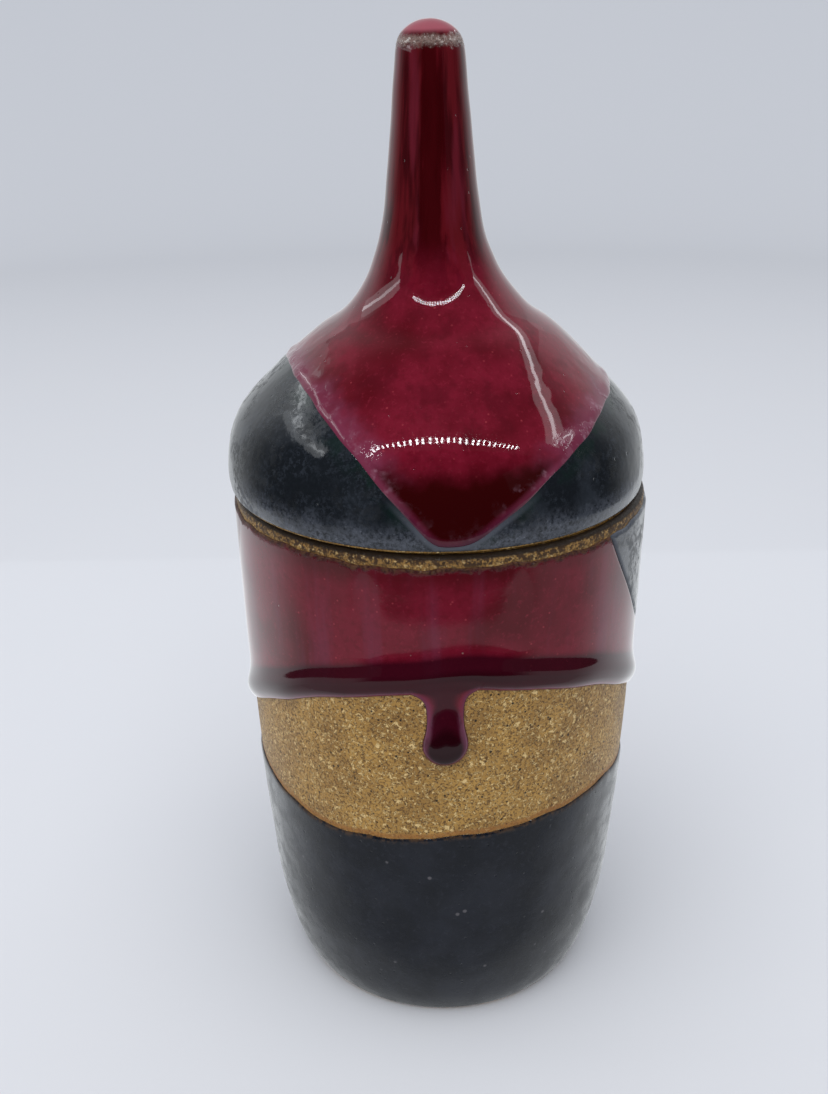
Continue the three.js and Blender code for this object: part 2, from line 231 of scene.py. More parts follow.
class Outline:
    """A turned surface: radius, height and outward direction along its own length."""

    def __init__(self, points):
        gaps = np.hypot(*np.diff(points, axis=0).T)
        self.along = np.append(0, np.cumsum(gaps))
        self.radius, self.height = points[:, 0], points[:, 1]
        run = np.gradient(points, axis=0)
        run /= np.hypot(run[:, 0], run[:, 1])[:, None]
        self.out_radius, self.out_height = run[:, 1], -run[:, 0]
        self.end = self.along[-1]

    def at(self, along):
        return np.interp(along, self.along, self.radius), np.interp(along, self.along, self.height)

    def outward(self, along):
        return np.interp(along, self.along, self.out_radius), np.interp(along, self.along, self.out_height)

    def along_at(self, height):
        return np.interp(height, self.height, self.along)

    def place(self, theta, along, out, uneven):
        """Points at an azimuth and a length along the outline, moved out of the surface."""
        radius, height = self.at(along)
        out = out + uneven(theta, height) * np.clip(radius / CALM_RADIUS, 0, 1)
        out_radius, out_height = self.outward(along)
        radius, height = radius + out * out_radius, height + out * out_height
        return np.stack([radius * np.sin(theta), -radius * np.cos(theta), height], axis=-1)


def jar_uneven(theta, height):
    """A little out of round, with faint rings that climb as the wheel turned."""
    oval = 0.13 * np.sin(2 * theta + 0.6) + 0.07 * np.sin(3 * theta + 2.0)
    rings = 0.016 * np.sin(height / 2.9 + theta) + 0.006 * np.sin(height / 1.7 - theta + 1.0)
    return oval + rings


def lid_uneven(theta, height):
    oval = 0.10 * np.sin(2 * theta - 0.4) + 0.06 * np.sin(3 * theta + 0.7)
    rings = 0.03 * np.sin(height / 2.6 + theta) + 0.02 * np.sin(height / 1.6 - theta)
    return oval + rings + 0.8 * np.sin(theta) * hump(height, 42.0, 11.0)


JAR = Outline(softened(evenly(curve_through(JAR_STATIONS)), 2.5))
LID_SIDE = softened(evenly(curve_through(LID_STATIONS)), 1.5)
LID = Outline(softened(evenly(np.vstack([LID_SIDE, arc_between(FINIAL_CORNER, LID_TOP)[1:]])), 0.4))


def jar_points(theta, along, out):
    return JAR.place(theta, along, out, jar_uneven)


def lid_points(theta, along, out):
    """Points on the lid, which leans a little and sits a little to one side."""
    return on_seat(LID.place(theta, along, out, lid_uneven))


def on_seat(points):
    points = points.copy()
    points[..., 0] += LID_SHIFT - LID_LEAN * points[..., 2]
    points[..., 2] += SEAT_HEIGHT
    return points


# ---------------------------------------------------------------- meshes

def skin(name, points, marks, around=True, gaps=()):
    """A closed skin from points[column, row]. Rows run up the outside and come back behind it;
    a gap is a row at the axis that isn't joined to the next one."""
    columns, rows = points.shape[:2]
    index = np.arange(columns * rows).reshape(columns, rows)
    beside = np.roll(index, -1, axis=0)
    if not around:
        index, beside = index[:-1], beside[:-1]
    faces = np.stack([index, beside, np.roll(beside, -1, axis=1), np.roll(index, -1, axis=1)], axis=-1)
    kept = [row for row in range(rows) if row not in gaps]
    faces = faces[:, kept].reshape(-1, 4).tolist()
    if not around:
        faces.append(list(range(rows))[::-1])
        faces.append(list(range((columns - 1) * rows, columns * rows)))
    mesh = bpy.data.meshes.new(name)
    mesh.from_pydata((points.reshape(-1, 3) * MM).tolist(), [], faces)
    for mark, values in marks.items():
        layer = mesh.attributes.new(mark, "FLOAT", "POINT")
        layer.data.foreach_set("value", np.ascontiguousarray(values, np.float32).ravel())
    if gaps:
        close_at_axis(mesh)
    mesh.shade_smooth()
    mesh.validate()
    return placed(name, mesh)


def placed(name, data):
    """A new object in the scene."""
    thing = bpy.data.objects.new(name, data)
    bpy.context.scene.collection.objects.link(thing)
    return thing


def close_at_axis(mesh):
    """Joins the points that meet on the axis."""
    work = bmesh.new()
    work.from_mesh(mesh)
    seen = {}
    for vert in work.verts:
        key = tuple(round(value / MM, 4) for value in vert.co)
        seen.setdefault(key, []).append(vert)
    meeting = [vert for group in seen.values() if len(group) > 3 for vert in group]
    bmesh.ops.remove_doubles(work, verts=meeting, dist=1e-7)
    work.to_mesh(mesh)
    work.free()


def rows_between(low, high, count):
    """Rows from one edge of a coat to the other, close together where each edge rounds over."""
    squeeze = np.minimum(1, (high - low) / (3 * EDGE_ROWS[-1]))[:, None]
    near = low[:, None] + EDGE_ROWS * squeeze
    far = (high[:, None] - EDGE_ROWS * squeeze)[:, ::-1]
    share = np.linspace(0, 1, count + 2)[1:-1]
    middle = near[:, -1:] + (far[:, :1] - near[:, -1:]) * share
    return np.hstack([near, middle, far])


def distance_to(points, line):
    """Distance from each point to a closed line, in millimetres."""
    tree = KDTree(len(line))
    for i, spot in enumerate(line):
        tree.insert(spot, i)
    tree.balance()
    flat = points.reshape(-1, 3)
    nearest = np.array([tree.find(spot)[1] for spot in flat])
    best = np.full(len(flat), np.inf)
    for step in (-1, 1):
        a = line[nearest]
        run = line[(nearest + step) % len(line)] - a
        share = np.einsum("ij,ij->i", flat - a, run) / np.maximum((run ** 2).sum(1), 1e-9)
        foot = a + run * np.clip(share, 0, 1)[:, None]
        best = np.minimum(best, np.linalg.norm(flat - foot, axis=1))
    return best.reshape(points.shape[:-1])


def bare(place, theta, rows):
    """Points right on a surface."""
    return place(theta, rows, np.zeros_like(rows))


def rounded(distance, width):
    """Rises from 0 at an edge to 1 over a width, like the side of a drop."""
    return np.sqrt(np.clip(1 - (1 - np.clip(distance / width, 0, 1)) ** 2, 0, 1))


def eased(value, low, high):
    t = np.clip((value - low) / (high - low), 0, 1)
    return t * t * (3 - 2 * t)


def hump(value, centre, width):
    return np.exp(-((value - centre) / width) ** 2)


def azimuths(count=COLUMNS):
    return np.linspace(-math.pi, math.pi, count, endpoint=False)


def coat(name, theta, rows, place, thickness, marks, around=True, to_axis=False):
    """A coat of glaze: its face at a thickness over the clay, and its back just inside the clay."""
    picked = np.unique(np.linspace(0, rows.shape[1] - 1, BACK_ROWS).astype(int))[::-1]
    face_points = place(theta, rows, thickness)
    back_theta = theta[:, picked] if theta.shape[1] > 1 else theta
    back_points = place(back_theta, rows[:, picked], np.full((len(rows), len(picked)), BURIED))
    points = np.concatenate([face_points, back_points], axis=1)
    whole = {mark: np.hstack([values, values[:, picked]]) for mark, values in marks.items()}
    gaps = (rows.shape[1] - 1,) if to_axis else ()
    return skin(name, points, whole, around, gaps)


# ---------------------------------------------------------------- glaze lines

# Each dip: the height of its edge on the axis, its tilt and the way it leant.
PATCH_DIP = (184.3, math.radians(62.2), math.radians(-75.4))
LEFT_DIP = (-10.1, math.radians(49.4), math.radians(-80.0))
RIGHT_DIP = (-8.0, math.radians(37.7), math.radians(83.2))
RED_LEAN = math.radians(3.5)
MEAN_RADIUS = 49.3
PATCH_HEIGHT = 110.0
# How sharply the lid's dips meet.
CORNER_SHARPNESS = 1.1


def dip_line(theta, radius, middle, tilt, lean):
    """Height on a round wall of a level dip's edge, from its height on the axis, how far the pot
    was tilted and which way it leant."""
    return middle + math.tan(tilt) * radius * np.cos(theta - lean)


def red_line(theta, sizes):
    """Height of the red coat's lower edge on the jar: a tilted dip that sagged a little."""
    dip = (sizes.red_line / MM, sizes.red_tilt, RED_LEAN)
    height = dip_line(theta, MEAN_RADIUS, *dip)
    height = dip_line(theta, np.interp(height, JAR.height, JAR.radius), *dip)
    sag = 0.7 * hump(theta, math.radians(2), math.radians(22))
    return height + sag + 0.22 * np.sin(9 * theta + 0.5) + 0.12 * np.sin(17 * theta)


def foot_line(theta, sizes):
    """Height of the black foot's wavy upper edge."""
    wave = 0.8 * np.sin(2 * theta) + 1.6 * np.sin(3 * theta - 0.49) + 0.7 * np.sin(5 * theta + 2.0)
    fine = 0.18 * np.sin(14 * theta + 1.0) + 0.12 * np.sin(27 * theta)
    return sizes.foot_line / MM + wave + fine


def rim_line(theta, sizes):
    """Height of the ragged edge where the glaze was wiped from the rim."""
    ragged = 0.22 * np.sin(7 * theta) + 0.16 * np.sin(23 * theta + 1) + 0.13 * np.sin(41 * theta + 2)
    return JAR_TOP - sizes.bare_rim / MM + ragged


def side_line(theta):
    """Height of the steep edge where black was poured over the jar's right side."""
    height = dip_line(theta, np.interp(PATCH_HEIGHT, JAR.height, JAR.radius), *PATCH_DIP)
    return height + 0.5 * np.sin(9 * theta + 1.3) + 0.3 * np.sin(19 * theta)


def lid_dips(theta, radius, tip):
    """Height of the black on the lid: the higher of two tilted dips, and a low rim that joins them."""
    left, right = dip_line(theta, radius, *LEFT_DIP), dip_line(theta, radius, *RIGHT_DIP)
    ragged = 0.22 * np.sin(13 * theta + 0.4) + 0.12 * np.sin(29 * theta)
    heights = np.stack([left + ragged, right + ragged, np.full_like(left, tip)])
    top = heights.max(axis=0)
    return top + np.log(np.exp(CORNER_SHARPNESS * (heights - top)).sum(axis=0)) / CORNER_SHARPNESS


def lid_line(theta, tip):
    """Length along the lid's outline at which the black gives way to red."""
    dips = lid_dips(theta[:, None], LID.radius[None, :], tip)
    over = LID.height[None, :] >= dips
    first = np.maximum(over.argmax(axis=1), 1)
    pick = np.arange(len(theta))
    before = (dips - LID.height)[pick, first - 1]
    after = (LID.height - dips)[pick, first]
    share = before / np.maximum(before + after, 1e-9)
    return LID.along[first - 1] + share * (LID.along[first] - LID.along[first - 1])


# ---------------------------------------------------------------- materials

# Tints that break up the main colours.
RED_MOTTLE, RED_BLOOM, RED_FLECK = (0.090, 0.003, 0.008), (0.23, 0.016, 0.035), (0.36, 0.045, 0.06)
WINE, DEEP_WINE, THIN_WINE = (0.028, 0.0018, 0.0062), (0.012, 0.0010, 0.0026), (0.055, 0.004, 0.005)
LIP_VIOLET, LIP_SEAM, LIP_TIP = (0.160, 0.030, 0.076), (0.020, 0.004, 0.012), (0.050, 0.009, 0.028)
BURNT_EDGE, BURNT_CRUST, PALE_PIT = (0.13, 0.068, 0.026), (0.022, 0.011, 0.007), (0.30, 0.16, 0.15)
NECK_RED, NECK_DARK, NECK_BRIGHT = (0.100, 0.005, 0.009), (0.040, 0.0014, 0.0032), (0.14, 0.014, 0.030)
# On the next line, the first colour is painted shade for the neck's front; the other two are glaze
# colours.
NECK_FRONT_SHADE, RUN_RED, POOL_RED = (0.034, 0.0010, 0.0020), (0.075, 0.003, 0.008), (0.029, 0.0014, 0.0018)
MILK, CAP_PINK = (0.36, 0.19, 0.25), (0.36, 0.095, 0.125)
RING_GREY, RING_ASH = (0.20, 0.135, 0.115), (0.50, 0.44, 0.41)
SLATE, DUST = (0.030, 0.036, 0.046), (0.031, 0.037, 0.048)
GREEN_DEPTH, FROST_SPARK = (0.006, 0.018, 0.014), (0.24, 0.26, 0.30)
FOOT_CLOUD, FOOT_DUST = (0.0135, 0.0160, 0.0250), (0.028, 0.031, 0.044)
FOOT_SPOT, FOOT_BROWN = (0.16, 0.15, 0.16), (0.075, 0.042, 0.022)
CLAY_SHADE, CLAY_SAND, CLAY_FLASH = (0.35, 0.185, 0.042), (0.120, 0.058, 0.015), (0.36, 0.145, 0.03)
# Blotchy brown, partly mottling and partly painted shade under the lid, and painted shadow for the groove
# below the lid's edge.
SEAT_MOTTLE_AND_SHADE, SEAT_GROOVE_SHADOW = (0.062, 0.030, 0.012), (0.024, 0.014, 0.008)
LINER_SHADE, LINER_SPECK = (0.075, 0.058, 0.042), (0.03, 0.02, 0.014)
# On the next line, the second colour is painted shade for the far sweep.
PAPER_COOL, PAPER_FAR_SHADE = (0.66, 0.70, 0.78), (0.55, 0.575, 0.62)
GLAZE_IOR = 1.5


class Finish:
    """A material's node tree, built a step at a time. Textures work in millimetres."""

    def __init__(self, name):
        self.material = bpy.data.materials.new(name)
        self.material.use_nodes = True
        self.tree = self.material.node_tree
        self.shader = self.tree.nodes["Principled BSDF"]
        place = self.tree.nodes.new("ShaderNodeTexCoord").outputs["Object"]
        self.place = self.vector("SCALE", place, scale=1 / MM)

    def node(self, kind, **values):
        made = self.tree.nodes.new(kind)
        for key, value in values.items():
            setattr(made, key, value)
        return made

    def feed(self, socket, value):
        if isinstance(value, bpy.types.NodeSocket):
            self.tree.links.new(value, socket)
        elif socket.type == "RGBA":
            socket.default_value = (*value, 1)
        else:
            socket.default_value = value

    def vector(self, operation, a, b=None, scale=None, output="Vector"):
        made = self.node("ShaderNodeVectorMath", operation=operation)
        self.feed(made.inputs[0], a)
        if b is not None:
            self.feed(made.inputs[1], b)
        if scale is not None:
            self.feed(made.inputs["Scale"], scale)
        return made.outputs[output]

    def math(self, operation, a, b=0.0):
        made = self.node("ShaderNodeMath", operation=operation)
        self.feed(made.inputs[0], a)
        self.feed(made.inputs[1], b)
        return made.outputs[0]

    def times(self, a, *others):
        for other in others:
            a = self.math("MULTIPLY", a, other)
        return a

    def mark(self, name):
        return self.node("ShaderNodeAttribute", attribute_name=name).outputs["Fac"]

    def noise(self, size, detail=3.0, rough=0.55, stretch=(1, 1, 1), twist=0.0):
        made = self.node("ShaderNodeTexNoise")
        place = self.place if stretch == (1, 1, 1) else self.vector("MULTIPLY", self.place, stretch)
        self.feed(made.inputs["Vector"], place)
        self.feed(made.inputs["Scale"], 1 / size)
        self.feed(made.inputs["Detail"], detail)
        self.feed(made.inputs["Roughness"], rough)
        self.feed(made.inputs["Distortion"], twist)
        return made.outputs["Fac"]

    def dots(self, size):
        """Distance to the nearest of many scattered dots, as a share of their size."""
        made = self.node("ShaderNodeTexVoronoi")
        self.feed(made.inputs["Vector"], self.place)
        self.feed(made.inputs["Scale"], 1 / size)
        return made.outputs["Distance"]

    def span(self, value, low, high, to_low=0.0, to_high=1.0):
        """Eases from one level to another as a value crosses a span."""
        made = self.node("ShaderNodeMapRange", interpolation_type="SMOOTHSTEP")
        for socket, number in zip(made.inputs, (value, low, high, to_low, to_high)):
            self.feed(socket, number)
        return made.outputs[0]

    def below(self, value, low, high):
        """1 under a span of the value and 0 over it."""
        return self.span(value, low, high, 1, 0)

    def strayed(self, value, noise, reach):
        """The value moved up and down by a noise."""
        return self.math("ADD", value, self.times(self.math("SUBTRACT", noise, 0.5), reach))

    def mix(self, share, a, b):
        made = self.node("ShaderNodeMix", data_type="RGBA")
        self.feed(made.inputs["Factor"], share)
        self.feed(made.inputs["A"], a)
        self.feed(made.inputs["B"], b)
        return made.outputs["Result"]

    def over(self, base, tint, *shares):
        """A tint laid over the base, as strong as its shares multiplied."""
        return self.mix(self.times(*shares), base, tint)

    def relief(self, height, depth, below=None):
        """Bump of a depth in millimetres, laid over another one."""
        made = self.node("ShaderNodeBump")
        self.feed(made.inputs["Height"], height)
        self.feed(made.inputs["Distance"], depth * MM)
        if below is not None:
            self.feed(made.inputs["Normal"], below)
        return made.outputs["Normal"]

    def finish(self, base, rough, normal):
        self.feed(self.shader.inputs["Base Color"], base)
        self.feed(self.shader.inputs["Roughness"], rough)
        self.feed(self.shader.inputs["Normal"], normal)
        self.shader.inputs["IOR"].default_value = GLAZE_IOR
        return self.material


def oxblood_base(f, colours):
    """Crimson that deepens to oxblood in soft clouds, with a fine mottle and small bright flecks."""
    base = f.mix(f.span(f.noise(19, 2, 0.5), 0.42, 0.68), colours.crimson, colours.oxblood)
    base = f.over(base, RED_MOTTLE, f.span(f.noise(1.9, 4, 0.65), 0.44, 0.7), 0.45)
    base = f.over(base, RED_BLOOM, f.span(f.noise(1.1, 3, 0.7), 0.54, 0.7), 0.35)
    return f.over(base, RED_FLECK, f.below(f.dots(2.1), 0.07, 0.16), f.span(f.noise(7, 2), 0.45, 0.6), 0.5)


def jar_red_finish(colours):
    """The red of the jar: open crimson wall, wine roll and a violet lip along the edge."""
    f = Finish("jar_oxblood_glaze")
    edge, rim, thick = f.mark("edge"), f.mark("rim"), f.mark("thick")
    base = oxblood_base(f, colours)
    bands = f.noise(7, 3, 0.55, (1, 1, 0.10))
    base = f.over(base, colours.violet, f.span(bands, 0.46, 0.70), 0.4)
    base = f.over(base, WINE, f.span(thick, 0.66, 0.98), 0.9)
    base = f.over(base, DEEP_WINE, f.span(thick, 1.5, 2.2), 0.8)
    cloudy = f.span(f.noise(3.0, 3), 0.3, 0.55, 0.45, 1)
    base = f.over(base, LIP_VIOLET, f.below(edge, 0.2, 2.0), cloudy, 0.85)
    base = f.over(base, LIP_SEAM, f.below(edge, 0.05, 0.38), 0.9)
    rag = f.strayed(rim, f.noise(1.5, 5, 0.75), 4.5)
    base = f.over(base, BURNT_EDGE, f.below(rag, 0.1, 0.8))
    crust = f.times(f.span(f.noise(0.75, 4, 0.75), 0.48, 0.56), f.below(rag, 0.6, 1.3))
    base = f.over(base, BURNT_CRUST, crust)
    base = f.over(base, THIN_WINE, f.below(rim, 2, 11), 0.50)
    pits = f.dots(6.5)
    base = f.over(base, PALE_PIT, f.below(pits, 0.012, 0.045), 0.7)
    normal = f.relief(f.noise(11, 2, 0.4), 0.035)
    normal = f.relief(f.noise(1.1, 2), 0.004, normal)
    normal = f.relief(f.span(pits, 0.012, 0.05), 0.08, normal)
    normal = f.relief(crust, -0.10, normal)
    return f.finish(base, f.span(rag, 0.6, 1.6, 0.45, 0.06), normal)


def neck_base(f):
    """Streaks that run down the neck, with painted shade that darkens it along its front."""
    streaks = f.noise(2.6, 3, 0.6, (1, 1, 0.035))
    base = f.mix(f.span(streaks, 0.40, 0.66), NECK_RED, NECK_DARK)
    base = f.over(base, NECK_BRIGHT, f.span(f.noise(4, 2, 0.5, (1, 1, 0.05)), 0.50, 0.68), 0.5)
    # Painted shade: a dark band down the neck's front, its edge broken by the streaks.
    facing = f.strayed(f.mark("facing"), streaks, 0.10)
    return f.over(base, NECK_FRONT_SHADE, f.span(facing, 0.955, 0.985), 0.85)


def lid_red_finish(colours):
    """The red of the lid: streaked on the neck, milky and blistered along the tongue's edges."""
    f = Finish("lid_oxblood_glaze")
    edge, corner, up = f.mark("edge"), f.mark("corner"), f.mark("up")
    base = oxblood_base(f, colours)
    base = f.over(base, RUN_RED, f.span(f.noise(5.5, 3, 0.55, (1, 1, 0.16)), 0.48, 0.68), 0.55)
    base = f.mix(f.span(up, 44, 62), base, neck_base(f))
    ragged = f.strayed(edge, f.noise(6, 3), 9)
    veil = f.times(f.span(ragged, 0.5, 8.5, 0.76, 0), f.span(up, 7, 17, 0.35, 1))
    base = f.over(base, colours.violet, veil)
    settled = f.strayed(up, f.noise(8, 3), 8)
    base = f.over(base, POOL_RED, f.span(edge, 0.7, 2.8), f.below(settled, 14, 21))
    base = f.over(base, LIP_TIP, f.below(edge, 0.3, 2.6), f.below(up, 8, 15), 0.75)
    blister = f.dots(1.5)
    clotted = f.span(f.noise(3.6, 4, 0.6), 0.49, 0.61)
    milky = f.times(f.below(ragged, 0.0, 6.0), clotted, f.span(up, 8, 20, 0.25, 1))
    base = f.over(base, MILK, milky, f.span(blister, 0.15, 0.5, 0.5, 0.15))
    from_corner = f.strayed(f.math("ABSOLUTE", corner), f.noise(1.7, 4, 0.7), 3.2)
    ring = f.below(from_corner, 0.3, 1.8)
    base = f.over(base, RING_GREY, ring, 0.85)
    base = f.over(base, RING_ASH, ring, f.span(f.noise(0.9, 3, 0.7), 0.56, 0.64))
    base = f.over(base, CAP_PINK, f.span(corner, 1.2, 3.0), 0.85)
    blistered = f.times(f.span(blister, 0.1, 0.5), milky)
    normal = lid_red_relief(f, edge, up, ring, blistered)
    return f.finish(base, f.math("ADD", f.times(ring, 0.25), 0.045), normal)


def lid_red_relief(f, edge, up, ring, blistered):
    """Soft waves, a wavy shoulder, pinholes, a crusty ring at the finial's corner and blisters."""
    normal = f.relief(f.noise(8, 2, 0.45), 0.05)
    normal = f.relief(f.noise(1.1, 2), 0.003, normal)
    uneven = f.times(f.below(edge, 5, 24), f.span(up, 26, 31), f.below(up, 50, 60))
    normal = f.relief(f.times(f.noise(4.8, 1.2, 0.5), uneven), 0.22, normal)
    normal = f.relief(f.span(f.dots(4.4), 0.02, 0.07), 0.10, normal)
    normal = f.relief(f.times(f.span(f.dots(0.9), 0.1, 0.5), ring), 0.25, normal)
    return f.relief(blistered, 0.06, normal)


def lid_black_finish(name, colours):
    """Glossy black with green depths beside the red and frosted crystals along the lid's edge."""
    f = Finish(name)
    edge, up = f.mark("edge"), f.mark("up")
    base = f.over(colours.black, SLATE, f.span(f.noise(11, 4, 0.6), 0.45, 0.7), 0.55)
    dusty = f.span(f.noise(8, 3), 0.40, 0.60, 0.15, 0.7)
    base = f.over(base, DUST, f.span(f.noise(1.1, 5, 0.8), 0.46, 0.64), dusty)
    base = f.over(base, GREEN_DEPTH, f.below(edge, 0.5, 5), f.span(f.noise(5, 2), 0.42, 0.62), 0.6)
    level = f.strayed(up, f.noise(6, 3), 9)
    low = f.times(f.below(level, 1.5, 9.0), f.span(f.noise(1.0, 5, 0.8), 0.32, 0.62))
    beside = f.times(f.below(edge, 0.2, 1.6), f.below(up, 3, 14), 0.9)
    crystals = f.math("MAXIMUM", low, beside)
    base = f.over(base, colours.frost, crystals, 0.92)
    base = f.over(base, FROST_SPARK, low, f.span(f.noise(0.7, 3, 0.7), 0.60, 0.70), 0.5)
    normal = f.relief(f.noise(9, 3, 0.5), 0.20)
    normal = f.relief(f.noise(1.6, 3, 0.6), 0.02, normal)
    normal = f.relief(f.span(f.dots(6.0), 0.02, 0.07), 0.12, normal)
    dull = f.times(f.span(f.noise(12, 3, 0.6), 0.42, 0.60), f.span(f.noise(1.6, 4, 0.7), 0.35, 0.60))
    rough = f.math("ADD", f.span(dull, 0, 1, 0.08, 0.38), f.times(crystals, 0.2))
    return f.finish(base, rough, normal)


def satin_black_finish(name, colours):
    """Satin black of the foot, clouded blue-grey, with pits and small pale spots."""
    f = Finish(name)
    base = f.over(colours.foot, FOOT_CLOUD, f.span(f.noise(14, 5, 0.62), 0.38, 0.68))
    base = f.over(base, FOOT_DUST, f.span(f.noise(1.3, 4, 0.7), 0.52, 0.7), 0.4)
    base = f.over(base, FOOT_SPOT, f.below(f.dots(7.5), 0.04, 0.09), 0.6)
    burnt = f.below(f.mark("edge"), 0.1, 1.6)
    base = f.over(base, FOOT_BROWN, burnt, f.span(f.noise(1.2, 3), 0.38, 0.6), 0.8)
    pit = f.times(f.below(f.dots(2.6), 0.04, 0.16), f.span(f.noise(9, 2), 0.48, 0.56))
    normal = f.relief(f.noise(9, 3, 0.5), 0.18)
    normal = f.relief(f.noise(0.7, 3, 0.6), 0.035, normal)
    normal = f.relief(pit, -0.12, normal)
    return f.finish(base, f.span(f.noise(5, 4, 0.6), 0.35, 0.65, 0.20, 0.34), normal)


def clay_finish(name, colours, by_glaze=False):
    """Golden stoneware with pale grog and iron specks. By the glaze it has a warm flash. Under the lid it
    has blotchy brown, partly mottling and partly painted shade, and a painted shadow in the groove."""
    f = Finish(name)
    base = f.over(colours.clay, CLAY_SHADE, f.span(f.noise(10, 4, 0.6), 0.35, 0.65))
    sand = f.noise(0.6, 4, 0.75)
    base = f.over(base, CLAY_SAND, f.span(sand, 0.50, 0.57), 0.9)
    pale = f.span(f.noise(1.0, 4, 0.75, twist=0.8), 0.545, 0.60)
    base = f.over(base, colours.grog, pale, 0.9)
    small = f.times(f.below(f.dots(2.3), 0.08, 0.15), f.span(f.noise(4.5, 2), 0.42, 0.50))
    specks = f.math("MAXIMUM", small, f.below(f.dots(4.6), 0.05, 0.09))
    base = f.over(base, colours.iron, specks, 0.95)
    if by_glaze:
        from_line = f.math("ABSOLUTE", f.math("SUBTRACT", f.mark("above"), 0.7))
        base = f.over(base, CLAY_FLASH, f.below(from_line, 0.1, 1.3), 0.75)
        # Painted shade under the lid: blotchy brown darkens the bare rim toward the lid's edge, partly the
        # rim's own mottling.
        seat = f.strayed(f.mark("under_lid"), sand, 0.8)
        blotches = f.span(f.noise(1.1, 4, 0.75), 0.44, 0.56, 0.35, 1.5)
        base = f.over(base, SEAT_MOTTLE_AND_SHADE, f.below(seat, 0.5, 4.5), blotches)
        # Painted shadow in the groove between the rim and the lid's edge.
        base = f.over(base, SEAT_GROOVE_SHADOW, f.below(seat, 0.55, 1.05))
    normal = f.relief(f.noise(4, 3), 0.16)
    normal = f.relief(sand, 0.16, normal)
    normal = f.relief(pale, 0.08, normal)
    normal = f.relief(specks, -0.12, normal)
    return f.finish(base, f.span(sand, 0.4, 0.6, 0.42, 0.60), normal)


def liner_finish(name, colours):
    """Quiet brown-grey glaze inside, with fine specks and finger rings."""
    f = Finish(name)
    base = f.over(colours.liner, LINER_SHADE, f.span(f.noise(9, 4), 0.4, 0.65))
    base = f.over(base, LINER_SPECK, f.below(f.dots(2.1), 0.07, 0.15), 0.7)
    normal = f.relief(f.noise(7, 2, 0.5, (0.3, 0.3, 2.2)), 0.25)
    normal = f.relief(f.noise(0.9, 3), 0.02, normal)
    return f.finish(base, f.span(f.noise(5, 3), 0.4, 0.6, 0.16, 0.3), normal)


def paper_finish(colours):
    """Matt pale paper for the sweep, with painted shade making it a little darker far behind."""
    f = Finish("pale_paper")
    tone = f.over(colours.paper, PAPER_COOL, f.noise(60, 2), 0.12)
    far = f.vector("DOT_PRODUCT", f.place, (0, 1, 0), output="Value")
    # Painted shade: the sweep darkens from 450 mm to 1400 mm behind the middle.
    tone = f.over(tone, PAPER_FAR_SHADE, f.span(far, 450, 1400), 0.38)
    return f.finish(tone, 0.9, f.relief(f.noise(1.2, 3), 0.02))


# ---------------------------------------------------------------- jar pieces

def seated(piece, body, slot, material, *nodes):
    """Gives a piece its finish and sets it in the frame for the nodes it stands for."""
    piece.data.materials.append(material)
    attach(piece, body)
    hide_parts(*nodes)


def spaced(points, step=1.0):
    """A broken line with points no further apart than a step, keeping its corners."""
    points = np.array(points, float)
    out = [points[:1]]
    for a, b in zip(points, points[1:]):
        count = max(1, int(math.ceil(np.hypot(*(b - a)) / step)))
        out.append(a + (b - a) * np.linspace(0, 1, count + 1)[1:, None])
    return np.vstack(out)


def bend(centre, radius, start, stop, steps=6):
    """A quarter-round or part of one, in degrees from the radial direction."""
    turn = np.radians(np.linspace(start, stop, steps))
    return np.stack([centre[0] + radius * np.cos(turn), centre[1] + radius * np.sin(turn)], axis=1)


def spin(profile, uneven, columns=COLUMNS):
    """A closed profile turned about the axis, with the hand's unevenness."""
    theta = azimuths(columns)[:, None]
    radius = profile[None, :, 0]
    height = np.broadcast_to(profile[None, :, 1], (columns, len(profile)))
    radius = radius + uneven(theta, height) * np.clip(radius / CALM_RADIUS, 0, 1)
    return np.stack([radius * np.sin(theta), -radius * np.cos(theta), height], axis=-1)


def jar_inside(inset):
    """The jar's inside, from the middle of the floor to the mouth."""
    corner_height = JAR_FLOOR + FLOOR_CORNER
    corner_radius = np.interp(corner_height, JAR.height, JAR.radius) - JAR_WALL
    centre = (corner_radius - FLOOR_CORNER, corner_height)
    corner = bend(centre, FLOOR_CORNER - inset, -90, 0, 12)
    heights = np.linspace(corner_height, JAR_TOP, INSIDE_ROWS)[1:]
    radii = np.interp(heights, JAR.height, JAR.radius) - JAR_WALL - inset
    floor = spaced([(0, JAR_FLOOR + inset), tuple(corner[0])], 2.5)
    return np.vstack([floor[:-1], corner, np.stack([radii, heights], axis=1)])


